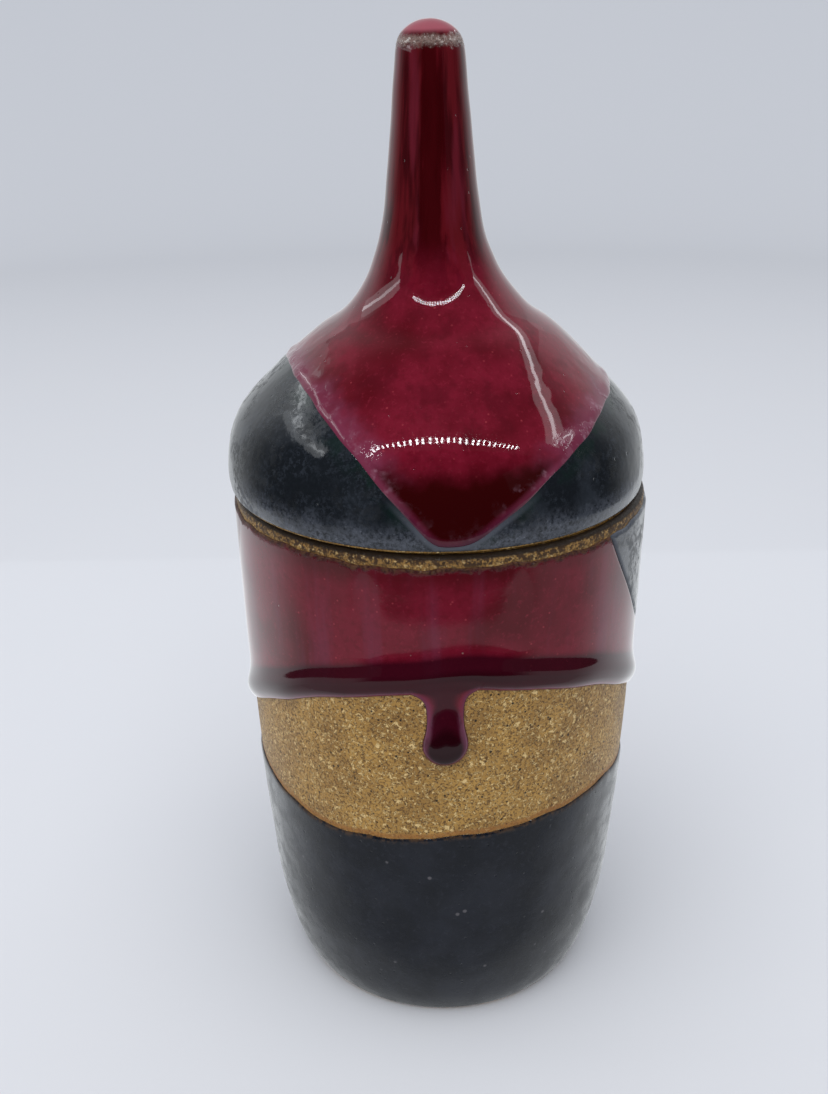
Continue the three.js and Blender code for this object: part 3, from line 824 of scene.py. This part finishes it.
def make_jar_clay(sizes, colours):
    """The thrown jar: foot ring, wall, rim and inside."""
    ring_inner = FOOT_RADIUS - FOOT_RING
    heel_at = FOOT_RADIUS - 1.1
    foot = [(0, FOOT_RECESS), (ring_inner - FOOT_RECESS, FOOT_RECESS), (ring_inner, 0.0), (heel_at, 0.0)]
    heel = bend((heel_at, HEEL_ROUND), HEEL_ROUND, -90, -20, 5)
    heights = np.linspace(HEEL_ROUND + 0.3, JAR_TOP - RIM_ROUND, WALL_ROWS)
    wall = np.stack([np.interp(heights, JAR.height, JAR.radius), heights], axis=1)
    rim_radius = wall[-1, 0]
    outer_rim = bend((rim_radius - RIM_ROUND, JAR_TOP - RIM_ROUND), RIM_ROUND, 10, 90, 8)
    mouth_at = rim_radius - JAR_WALL + MOUTH_ROUND
    inner_rim = bend((mouth_at, JAR_TOP - MOUTH_ROUND), MOUTH_ROUND, 90, 180, 6)
    inside = jar_inside(0.0)[::-1]
    inside = inside[inside[:, 1] < JAR_TOP - MOUTH_ROUND - 0.2]
    profile = np.vstack([spaced(foot, 2.0), heel[1:], wall, outer_rim, inner_rim, inside])
    points = spin(profile, jar_uneven)
    theta = np.broadcast_to(azimuths()[:, None], points.shape[:2])
    outside = np.arange(len(profile)) < len(profile) - len(inside) - len(inner_rim)
    above = (points[..., 2] - foot_line(theta, sizes)) * outside
    by_rim = outside & (points[..., 2] > JAR_TOP / 2)
    under = np.where(by_rim, JAR_TOP - points[..., 2], FAR_BELOW)
    piece = skin("jar_clay", points, {"above": above, "under_lid": under}, gaps=(len(profile) - 1,))
    seated(piece, "jar", "jar_clay", clay_finish("jar_stoneware", colours, True), "jar_body")


def make_jar_liner(colours):
    """The glaze poured inside the jar."""
    near, far = jar_inside(LINER_GAP), jar_inside(LINER_GAP + LINER_COAT)
    limit = JAR_TOP - LINER_DROP
    near, far = near[near[:, 1] < limit], far[far[:, 1] < limit]
    lip = bend((far[-1, 0] + LINER_COAT / 2, far[-1, 1]), LINER_COAT / 2, 180, 20, 6)
    profile = np.vstack([near, lip[::-1], far[::-1]])
    points = spin(profile, jar_uneven, LINER_COLUMNS)
    piece = skin("jar_liner", points, {}, gaps=(len(profile) - 1,))
    seated(piece, "jar", "liner_glaze", liner_finish("jar_liner_glaze", colours), "jar_liner_glaze")


class Drip:
    """The run of glaze under the roll: its half-width at each depth below the roll's edge."""
    swell = 3.8
    fillet_width, fillet_depth = 3.4, 1.25

    def __init__(self, sizes):
        self.length = sizes.drip_length / MM
        self.neck = sizes.drip_neck / MM / 2
        self.bulb = sizes.drip_bulb / MM / 2
        self.depths = np.append(np.linspace(0, self.length - 0.2, 300), self.length)
        widths = self.width(self.depths)
        run = np.append(0, np.cumsum(np.hypot(np.diff(self.depths), np.diff(widths))))
        self.share = run / run[-1]
        self.mouth = float(self.width(0.0))

    def width(self, depth):
        """Half-width: a fillet under the roll, a straight neck and a round bead."""
        middle = self.length - self.bulb
        above = self.neck + (self.bulb - self.neck) * hump(np.minimum(depth, middle), middle, self.swell)
        above = above + self.fillet_width * np.exp(-np.maximum(depth, 0) / self.fillet_depth)
        ball = np.sqrt(np.clip(self.bulb ** 2 - np.maximum(depth - middle, 0) ** 2, 0, None))
        return np.where(depth > middle, ball, above)

    def across(self, depth, lane):
        """Sideways place, at a depth, of the lane that starts on the outline (0) or at the tip (1)."""
        passed = np.interp(depth, self.depths, self.share)
        inward = np.clip((1 - lane) / np.maximum(1 - passed, 1e-6), 0, 1)
        return inward * self.width(depth)


def red_columns(drip):
    """The red coat's columns, from one side of the back round the front to the other. For each:
    its lane in the drip (1 at the tip, 0 on the outline), its place on the roll's edge and under
    the rim, both laid out flat, its side, and whether it starts in the drip."""
    half = math.pi * UNROLL_RADIUS
    count = DRIP_LANES + WALL_LANES
    lanes = np.append(np.linspace(1, 0, DRIP_LANES + 1)[:-1], np.zeros(WALL_LANES))
    starts = np.append(np.zeros(DRIP_LANES), np.linspace(drip.mouth, half, WALL_LANES + 1)[:-1])
    tops = half * np.arange(count) / count
    sides = np.append(-np.ones(count - 1), np.ones(count))
    order = np.append(np.arange(count)[:0:-1], np.arange(count))
    return lanes[order], starts[order], tops[order], sides, order < DRIP_LANES


def red_rise(theta, in_drip, heights, depth, edge, sizes):
    """Thickness of the red coat: an even wall, the lumpy roll over its edge and the drip's bead."""
    rise = heights - red_line(theta, sizes)
    lumpy = 1 + 0.10 * np.sin(5 * theta + 0.8) + 0.05 * np.sin(13 * theta)
    roll = sizes.coat / MM + sizes.roll_proud / MM * lumpy * hump(rise, ROLL_MIDDLE, ROLL_SPREAD)
    roll = roll * rounded(edge, ROLL_SIDE)
    full = sizes.drip_thickness / MM
    bead = (full - (full - DRIP_START) * (1 - eased(depth, 2.5, 15))) * rounded(edge, DRIP_SIDE)
    bead = np.where(in_drip[:, None], bead, roll)
    share = (1 - eased(rise, -3, 5)) * (1 - eased(np.abs(theta) * UNROLL_RADIUS, 5, 9.5))
    return roll + (bead - roll) * share


def make_jar_red(sizes, colours):
    """The red coat with its thick roll and its drip."""
    drip = Drip(sizes)
    lanes, starts, tops, sides, in_drip = red_columns(drip)
    root = red_line(sides * np.where(in_drip, drip.mouth * (1 - lanes), starts) / UNROLL_RADIUS, sizes)
    low = np.where(in_drip, root - np.interp(lanes, drip.share, drip.depths), root)
    top_theta = sides * tops / UNROLL_RADIUS
    wiped = rim_line(top_theta, sizes)
    by_patch = np.abs(top_theta - PATCH_MIDDLE) < PATCH_REACH
    high = np.where(by_patch, np.minimum(wiped, side_line(top_theta) - PATCH_GAP), wiped)
    heights = rows_between(low, high, RED_ROWS)
    line = root[:, None]
    depth = np.maximum(line - heights, 0)
    across = np.where(in_drip[:, None], drip.across(depth, lanes[:, None]), starts[:, None])
    climb = eased(heights, line, np.maximum(high, root + 1)[:, None])
    across = across + (tops[:, None] - across) * climb
    theta = sides[:, None] * across / UNROLL_RADIUS
    rows = JAR.along_at(heights)
    flat = bare(jar_points, theta, rows)
    edge, rim = distance_to(flat, flat[:, 0]), distance_to(flat, flat[:, -1])
    thickness = red_rise(theta, in_drip, heights, depth, edge, sizes) * rounded(rim, WIPED_SIDE)
    below_rim = rim_line(theta, sizes) - heights
    marks = {"edge": edge, "rim": rim + 3 * eased(below_rim, 1.5, 4), "thick": thickness}
    piece = coat("jar_red_coat", theta, rows, jar_points, thickness, marks)
    seated(piece, "jar", "jar_red_glaze", jar_red_finish(colours), "jar_red_glaze")


def make_jar_foot(sizes, colours):
    """The satin black coat from the foot up to the clay window, and up to the roll behind."""
    theta = azimuths()
    low = np.full(COLUMNS, sizes.bare_foot / MM) + 0.1 * np.sin(6 * theta)
    high = np.minimum(foot_line(theta, sizes), red_line(theta, sizes) + 1.2)
    heights = rows_between(low, high, FOOT_ROWS)
    rows = JAR.along_at(heights)
    theta = theta[:, None]
    flat = bare(jar_points, theta, rows)
    edge = distance_to(flat, flat[:, -1])
    foot = distance_to(flat, flat[:, 0])
    thickness = sizes.satin_coat / MM * rounded(edge, 1.1) * rounded(foot, 1.2)
    piece = coat("jar_foot_coat", theta, rows, jar_points, thickness, {"edge": edge})
    material = satin_black_finish("foot_satin_glaze", colours)
    seated(piece, "jar", "foot_black_glaze", material, "jar_black_foot_glaze")


def make_jar_side(sizes, colours):
    """The black poured over the jar's right side."""
    wide = np.linspace(math.radians(30), math.radians(175), 2000)
    open_wall = rim_line(wide, sizes) - side_line(wide) > 0.35
    theta = np.linspace(wide[open_wall][0], wide[open_wall][-1], PATCH_COLUMNS)
    low, high = side_line(theta), rim_line(theta, sizes)
    heights = rows_between(low, high, PATCH_ROWS)
    rows = JAR.along_at(heights)
    theta = theta[:, None]
    flat = bare(jar_points, theta, rows)
    edge = distance_to(flat, np.concatenate([flat[:, 0], flat[::-1, -1]]))
    thickness = (sizes.coat / MM + 0.02) * rounded(edge, WIPED_SIDE)
    marks = {"edge": edge, "up": np.full_like(edge, PATCH_FROST)}
    piece = coat("jar_side_coat", theta, rows, jar_points, thickness, marks, around=False)
    material = lid_black_finish("side_black_glaze", colours)
    seated(piece, "jar", "side_black_glaze", material, "jar_black_side_glaze")


# ---------------------------------------------------------------- lid pieces

def lid_hollow(inset, low, high, step=1.0):
    """Inside of the lid above the flange's bore, from a height up to another."""
    side = Outline(LID_SIDE)
    drop = LID_COAT + LID_WALL + inset
    radius = side.radius - drop * side.out_radius
    height = side.height - drop * side.out_height
    levels = np.arange(low, high, step)
    bore = FLANGE_RADIUS - FLANGE_THICKNESS - inset
    radii = np.minimum(np.interp(levels, height, radius), bore)
    return np.stack([radii, levels], axis=1)


def make_lid_clay(colours):
    """The thrown lid: its seat, its flange and the hollow under dome and neck."""
    side = LID.along[LID.along > LID_EDGE_ROUND + 0.4][::14]
    outer = np.stack(LID.at(side), axis=1) - LID_COAT * np.stack(LID.outward(side), axis=1)
    outer = outer[outer[:, 0] > 0.4]
    apex = np.array([[0.0, LID_TOP - LID_COAT]])
    edge = bend((outer[0, 0] - LID_EDGE_ROUND + 0.05, LID_EDGE_ROUND), LID_EDGE_ROUND, -90, 5, 8)
    low = FLANGE_ROUND - FLANGE_DEPTH
    flange = np.vstack([
        bend((FLANGE_RADIUS - FLANGE_THICKNESS + FLANGE_ROUND, low), FLANGE_ROUND, 180, 270),
        bend((FLANGE_RADIUS - FLANGE_ROUND, low), FLANGE_ROUND, -90, 0)])
    shoulder = (FLANGE_RADIUS + FLANGE_FLARE, 0.0)
    flange_side = spaced([tuple(flange[-1]), (FLANGE_RADIUS, -0.7), shoulder], 1.5)[1:]
    seat = spaced([shoulder, tuple(edge[0])], 1.5)[1:-1]
    hollow = lid_hollow(0.0, low + 0.8, BORE_HEIGHT, 1.6)[::-1]
    top = spaced([(0.0, BORE_HEIGHT), (hollow[0, 0], BORE_HEIGHT)], 1.5)[:-1]
    profile = np.vstack([top, hollow, flange, flange_side, seat, edge, outer[1:], apex])
    points = on_seat(spin(profile, lid_uneven))
    piece = skin("lid_clay", points, {}, gaps=(len(profile) - 1,))
    seated(piece, "lid", "lid_clay", clay_finish("lid_stoneware", colours), "lid_body")


def make_lid_liner(colours):
    """The glaze wiped inside the lid."""
    near = lid_hollow(LINER_GAP, *LID_LINER_SPAN)
    far = lid_hollow(LINER_GAP + LINER_COAT, *LID_LINER_SPAN)
    points = on_seat(spin(np.vstack([near, far[::-1]]), lid_uneven, LINER_COLUMNS))
    piece = skin("lid_liner", points, {})
    seated(piece, "lid", "liner_glaze", liner_finish("lid_liner_glaze", colours), "lid_liner_glaze")


def on_clay(theta, along, out):
    """Lid points at a thickness over the clay, which lies one coat inside the outline."""
    return lid_points(theta, along, out - LID_COAT)


def distance_to_line(points, tip):
    """Distance from the line where the lid's two coats meet, in millimetres."""
    theta = azimuths(4 * COLUMNS)
    line = bare(lid_points, theta[:, None], lid_line(theta, tip)[:, None])
    return distance_to(points, line[:, 0])


def make_lid_red(sizes, colours):
    """The red coat: finial, neck and dome, ending in a tongue in front and another behind."""
    theta = azimuths()
    tip = sizes.tongue_tip / MM
    near = lid_line(theta, tip)[:, None] + EDGE_ROWS
    share = np.linspace(0, 1, LID_RED_ROWS)[1:]
    rows = np.hstack([near, near[:, -1:] + (LID.end - near[:, -1:]) * share])
    theta = theta[:, None]
    edge = distance_to_line(bare(lid_points, theta, rows), tip)
    corner = rows - LID.along_at(FINIAL_CORNER[1])
    bead = sizes.edge_bead / MM * hump(edge, 2.0, 1.3) * (1 + 0.4 * np.sin(21 * theta))
    thin = 0.25 * hump(corner, 0.0, 1.5)
    thickness = (sizes.coat / MM + bead - thin) * rounded(edge, 0.9)
    # How squarely each column faces the front; the neck's painted shade follows it.
    facing = np.cos(theta + math.radians(1.5)) * np.ones_like(rows)
    marks = {"edge": edge, "corner": corner, "up": LID.at(rows)[1], "facing": facing}
    piece = coat("lid_red_coat", theta, rows, on_clay, thickness, marks, to_axis=True)
    seated(piece, "lid", "lid_red_glaze", lid_red_finish(colours), "lid_red_glaze")


def make_lid_black(sizes, colours):
    """The black coat round the lid's edge, high on both sides and low under the tongues."""
    theta = azimuths()
    tip = sizes.tongue_tip / MM
    low = np.full(COLUMNS, LID.along_at(sizes.bare_edge / MM))
    high = lid_line(theta, tip) + UNDER_RED
    rows = rows_between(low, high, LID_BLACK_ROWS)
    theta = theta[:, None]
    edge = distance_to_line(bare(lid_points, theta, rows), tip)
    sides = rounded(rows - low[:, None], 0.8) * rounded(high[:, None] - rows, 0.5)
    thickness = sizes.black_coat / MM * sides
    marks = {"edge": edge, "up": LID.at(rows)[1]}
    piece = coat("lid_black_coat", theta, rows, on_clay, thickness, marks)
    material = lid_black_finish("lid_black_glaze", colours)
    seated(piece, "lid", "lid_black_glaze", material, "lid_black_glaze")


# ---------------------------------------------------------------- studio

SWEEP_COLUMNS = 96
TENT_HALF = 205.0
LAMP_HEIGHT = 318.0
LIGHT_TINT = (0.93, 0.965, 1.0)
WORLD_TINT = (0.91, 0.94, 1.0)
WORLD_STRENGTH = 0.655
CAMERA_PLACE = (-6.5, -293.1, 240.7)
CAMERA_DOWN, CAMERA_ROLL = math.radians(23.12), math.radians(-0.82)
LENS, SENSOR = 41.13, 36.0


def glowing(name, strength, other=None, span=(0.0, 1.0), stretch=None):
    """A glow of one strength, or one that eases to another: along the depth of the tent, or
    away from the middle of its floor when that distance has a stretch."""
    material = bpy.data.materials.new(name)
    material.use_nodes = True
    tree = material.node_tree
    tree.nodes.clear()
    glow = tree.nodes.new("ShaderNodeEmission")
    glow.inputs["Color"].default_value = (*LIGHT_TINT, 1)
    glow.inputs["Strength"].default_value = strength
    out = tree.nodes.new("ShaderNodeOutputMaterial")
    tree.links.new(glow.outputs[0], out.inputs["Surface"])
    if other is None:
        return material
    place = tree.nodes.new("ShaderNodeTexCoord").outputs["Object"]
    scaled = tree.nodes.new("ShaderNodeVectorMath")
    scaled.operation = "MULTIPLY"
    scaled.inputs[1].default_value = stretch or (0, 1, 0)
    measure = tree.nodes.new("ShaderNodeVectorMath")
    measure.operation = "LENGTH" if stretch else "DOT_PRODUCT"
    measure.inputs[1].default_value = (0, 1, 0)
    level = tree.nodes.new("ShaderNodeMapRange")
    level.interpolation_type = "SMOOTHSTEP"
    for socket, value in zip(list(level.inputs)[1:], (span[0] * MM, span[1] * MM, strength, other)):
        socket.default_value = value
    tree.links.new(place, scaled.inputs[0])
    tree.links.new(scaled.outputs["Vector"], measure.inputs[0])
    tree.links.new(measure.outputs["Value"], level.inputs[0])
    tree.links.new(level.outputs[0], glow.inputs["Strength"])
    return material


def only_reflected(thing):
    """Seen in glossy surfaces only, so that it shapes highlights and nothing else."""
    for ray in ("camera", "diffuse", "shadow", "transmission", "volume_scatter"):
        setattr(thing, "visible_" + ray, False)


def cards(name, corners, material):
    """Flat cards, each from four corners in millimetres."""
    mesh = bpy.data.meshes.new(name)
    points = [Vector(corner) * MM for card in corners for corner in card]
    mesh.from_pydata(points, [], [tuple(range(4 * i, 4 * i + 4)) for i in range(len(corners))])
    mesh.materials.append(material)
    thing = placed(name, mesh)
    only_reflected(thing)


def flat_card(centre, across, along):
    """Corners of a card from its centre and two half-sides."""
    centre, across, along = Vector(centre), Vector(across), Vector(along)
    near, far = centre - along, centre + along
    return [near - across, near + across, far + across, far - across]


def true_round(theta, height):
    return np.zeros_like(theta)


def make_sweep(colours):
    """A pale floor that turns up into a wall all round."""
    bend_radius, wall_radius, wall_height = 400.0, 1500.0, 1800.0
    floor_radius = wall_radius - bend_radius
    turn = bend((floor_radius, bend_radius), bend_radius, -90, 0, 24)
    floor = spaced([(0.0, 0.0), (floor_radius, 0.0)], 60)
    profile = np.vstack([floor, turn[1:], [(wall_radius, wall_height)]])
    points = spin(profile, true_round, SWEEP_COLUMNS)
    index = np.arange(points.shape[0] * points.shape[1]).reshape(points.shape[:2])
    beside = np.roll(index, -1, axis=0)
    faces = np.stack([index[:, :-1], index[:, 1:], beside[:, 1:], beside[:, :-1]], axis=-1).reshape(-1, 4)
    mesh = bpy.data.meshes.new("sweep")
    mesh.from_pydata((points.reshape(-1, 3) * MM).tolist(), [], faces.tolist())
    close_at_axis(mesh)
    mesh.shade_smooth()
    mesh.materials.append(paper_finish(colours))
    sweep = placed("sweep", mesh)
    sweep.visible_diffuse = False
    sweep.visible_glossy = False
    sweep.visible_shadow = False


def area_light(name, place, target, width, height, power):
    """A soft panel lamp at a place, facing a target, in millimetres."""
    lamp = bpy.data.lights.new(name, "AREA")
    lamp.shape = "RECTANGLE"
    lamp.size, lamp.size_y = width * MM, height * MM
    lamp.energy = power
    thing = placed(name, lamp)
    place, target = Vector(place) * MM, Vector(target) * MM
    turn = (target - place).to_track_quat("-Z", "Y").to_matrix().to_4x4()
    thing.matrix_world = Matrix.Translation(place) @ turn
    thing.visible_camera = False
    thing.visible_glossy = False


def tent_walls(name, front, back, low, high, *glow):
    """The tent's two side walls, between two depths and two heights."""
    reach, rise = (back - front) / 2, (high - low) / 2
    pair = [flat_card((side, front + reach, low + rise), (0, reach, 0), (0, 0, rise))
            for side in (-TENT_HALF, TENT_HALF)]
    cards(name, pair, glowing(name, *glow))


def tent_level(name, height, front, back, *glow):
    """A level card right across the tent, between two depths."""
    reach = (back - front) / 2
    card = flat_card((0, front + reach, height), (TENT_HALF, 0, 0), (0, reach, 0))
    cards(name, [card], glowing(name, *glow))


def lamp_strip(middle, run, strength):
    """A long lamp on the tent's side, with a wider glow behind it."""
    cards("lamp_strip", [flat_card(middle, run, (0, 0, 5))], glowing("lamp_strip", strength))
    behind = Vector(middle) * 1.02
    cards("strip_glow", [flat_card(behind, run, (0, 0, 26))], glowing("strip_glow", 1.3))


def lamp_rows():
    """Two short rows of small lamps under the front of the roof."""
    step, row_step = 8.8, 5.5
    lamps = []
    for row in range(2):
        for i in range(-12, 15):
            middle = (5 + step * i, -96 - row_step * row, LAMP_HEIGHT)
            lamps.append(flat_card(middle, (1.15, 0, 0), (0, 1.8, 0)))
    cards("lamp_dots", lamps, glowing("lamp_dot", 60.0))


def make_tent():
    """What the glaze mirrors: a small light tent, open and dark in front above its bright floor,
    with rows of small lamps under the roof."""
    roof, front, back, ledge, floor = 340.0, -300.0, 260.0, 58.0, 0.1
    near, front_bay, back_bay = -260.0, -130.0, -50.0
    tent_walls("tent_low_walls", front_bay, back, 0, ledge, 0.42, 1.10, (-85.0, 50.0))
    tent_walls("tent_near_walls", near, front_bay, 0, ledge, 0.04, 0.42, (-255.0, -160.0))
    tent_walls("tent_high_walls", front, back, ledge, roof, 0.04, 0.75, (-20.0, 160.0))
    cards("tent_back", [flat_card((0, back, roof / 2), (TENT_HALF, 0, 0), (0, 0, roof / 2))],
          glowing("tent_back", 0.85))
    tent_level("tent_roof", roof, front_bay, back, 0.06, 0.50, (-40.0, 200.0))
    tent_level("floor_edge", floor, front, -240.0, 0.42, 0.05, (256.0, 280.0), (0.88, 1, 0))
    # Painted shadow: the reflected floor glows less within about 95 to 200 mm of the jar, where the jar
    # shades it.
    tent_level("floor_front", floor, -240.0, back_bay, 0.32, 0.42, (95.0, 200.0), (0.9, 1, 0))
    tent_level("floor_back", floor, back_bay, back, 0.45, 1.12, (-55.0, 35.0))
    lamp_strip((-186, 30, 284), (0, 105, 0), 4.5)
    lamp_strip((152, 45, LAMP_HEIGHT), (-42, 105, 17), 7.0)
    lamp_rows()


def make_lights():
    """Large soft lamps far enough off to light the sweep evenly."""
    middle = (0.0, 0.0, 100.0)
    area_light("top_light", (-100, -700, 1750), middle, 1800, 1800, 20.0)
    area_light("left_light", (-1700, -900, 900), middle, 1200, 1200, 3.0)


def make_world():
    """Even pale light from all round, kept out of the reflections."""
    world = bpy.data.worlds.new("studio")
    bpy.context.scene.world = world
    world.use_nodes = True
    pale = world.node_tree.nodes["Background"]
    pale.inputs["Color"].default_value = (*WORLD_TINT, 1)
    pale.inputs["Strength"].default_value = WORLD_STRENGTH
    world.cycles_visibility.glossy = False
    bpy.context.scene.view_settings.view_transform = "Standard"


def make_camera():
    """The camera in front, a little to the left and above, looking down at the jar."""
    lens = bpy.data.cameras.new("camera")
    lens.sensor_width = SENSOR
    lens.lens = LENS
    lens.clip_start = 10 * MM
    camera = placed("camera", lens)
    turn = Matrix.Rotation(math.pi / 2 - CAMERA_DOWN, 4, "X") @ Matrix.Rotation(CAMERA_ROLL, 4, "Z")
    camera.matrix_world = Matrix.Translation(Vector(CAMERA_PLACE) * MM) @ turn
    bpy.context.scene.camera = camera


# ---------------------------------------------------------------- add-on

def settings(context):
    scene = context.scene
    return scene.jar_glaze_sizes, scene.lid_glaze_sizes, scene.glaze_colours


class JAR_OT_clay(bpy.types.Operator):
    """Throw the jar's clay body"""
    bl_idname = "jar.clay"
    bl_label = "Jar clay"

    def execute(self, context):
        jar, _, colours = settings(context)
        make_jar_clay(jar, colours)
        return {"FINISHED"}


class JAR_OT_coats(bpy.types.Operator):
    """Glaze the outside of the jar: satin foot, black side and red coat with its roll and drip"""
    bl_idname = "jar.coats"
    bl_label = "Jar coats"

    def execute(self, context):
        jar, _, colours = settings(context)
        make_jar_foot(jar, colours)
        make_jar_side(jar, colours)
        make_jar_red(jar, colours)
        return {"FINISHED"}


class JAR_OT_lid_clay(bpy.types.Operator):
    """Throw the lid's clay body with its flange"""
    bl_idname = "jar.lid_clay"
    bl_label = "Lid clay"

    def execute(self, context):
        make_lid_clay(settings(context)[2])
        return {"FINISHED"}


class JAR_OT_lid_coats(bpy.types.Operator):
    """Glaze the outside of the lid: black edge and red dome, neck and finial"""
    bl_idname = "jar.lid_coats"
    bl_label = "Lid coats"

    def execute(self, context):
        _, lid, colours = settings(context)
        make_lid_black(lid, colours)
        make_lid_red(lid, colours)
        return {"FINISHED"}


class JAR_OT_liners(bpy.types.Operator):
    """Glaze the insides of the jar and the lid"""
    bl_idname = "jar.liners"
    bl_label = "Liners"

    def execute(self, context):
        colours = settings(context)[2]
        make_jar_liner(colours)
        make_lid_liner(colours)
        return {"FINISHED"}


class JAR_OT_stage(bpy.types.Operator):
    """Set up the pale sweep, the light tent and the camera"""
    bl_idname = "jar.stage"
    bl_label = "Stage"

    def execute(self, context):
        make_sweep(settings(context)[2])
        make_tent()
        make_lights()
        make_world()
        make_camera()
        return {"FINISHED"}


OPERATORS = [JAR_OT_clay, JAR_OT_coats, JAR_OT_lid_clay, JAR_OT_lid_coats, JAR_OT_liners, JAR_OT_stage]


class JAR_PT_panel(bpy.types.Panel):
    """Lists the steps that make the jar"""
    bl_idname = "JAR_PT_panel"
    bl_label = "Lidded jar"
    bl_space_type = "VIEW_3D"
    bl_region_type = "UI"
    bl_category = "Jar"

    def draw(self, context):
        for group in settings(context):
            box = self.layout.box()
            for name in group.__annotations__:
                box.prop(group, name)
        for operator in OPERATORS:
            self.layout.operator(operator.bl_idname)


CLASSES = [JarGlazeSizes, LidGlazeSizes, GlazeColours, *OPERATORS, JAR_PT_panel]


def register():
    for cls in CLASSES:
        bpy.utils.register_class(cls)
    bpy.types.Scene.jar_glaze_sizes = PointerProperty(type=JarGlazeSizes)
    bpy.types.Scene.lid_glaze_sizes = PointerProperty(type=LidGlazeSizes)
    bpy.types.Scene.glaze_colours = PointerProperty(type=GlazeColours)


def unregister():
    del bpy.types.Scene.glaze_colours
    del bpy.types.Scene.lid_glaze_sizes
    del bpy.types.Scene.jar_glaze_sizes
    for cls in reversed(CLASSES):
        bpy.utils.unregister_class(cls)


def main():
    register()
    bpy.ops.jar.clay()
    bpy.ops.jar.coats()
    bpy.ops.jar.lid_clay()
    bpy.ops.jar.lid_coats()
    bpy.ops.jar.liners()
    bpy.ops.jar.stage()


if __name__ == "__main__":
    main()
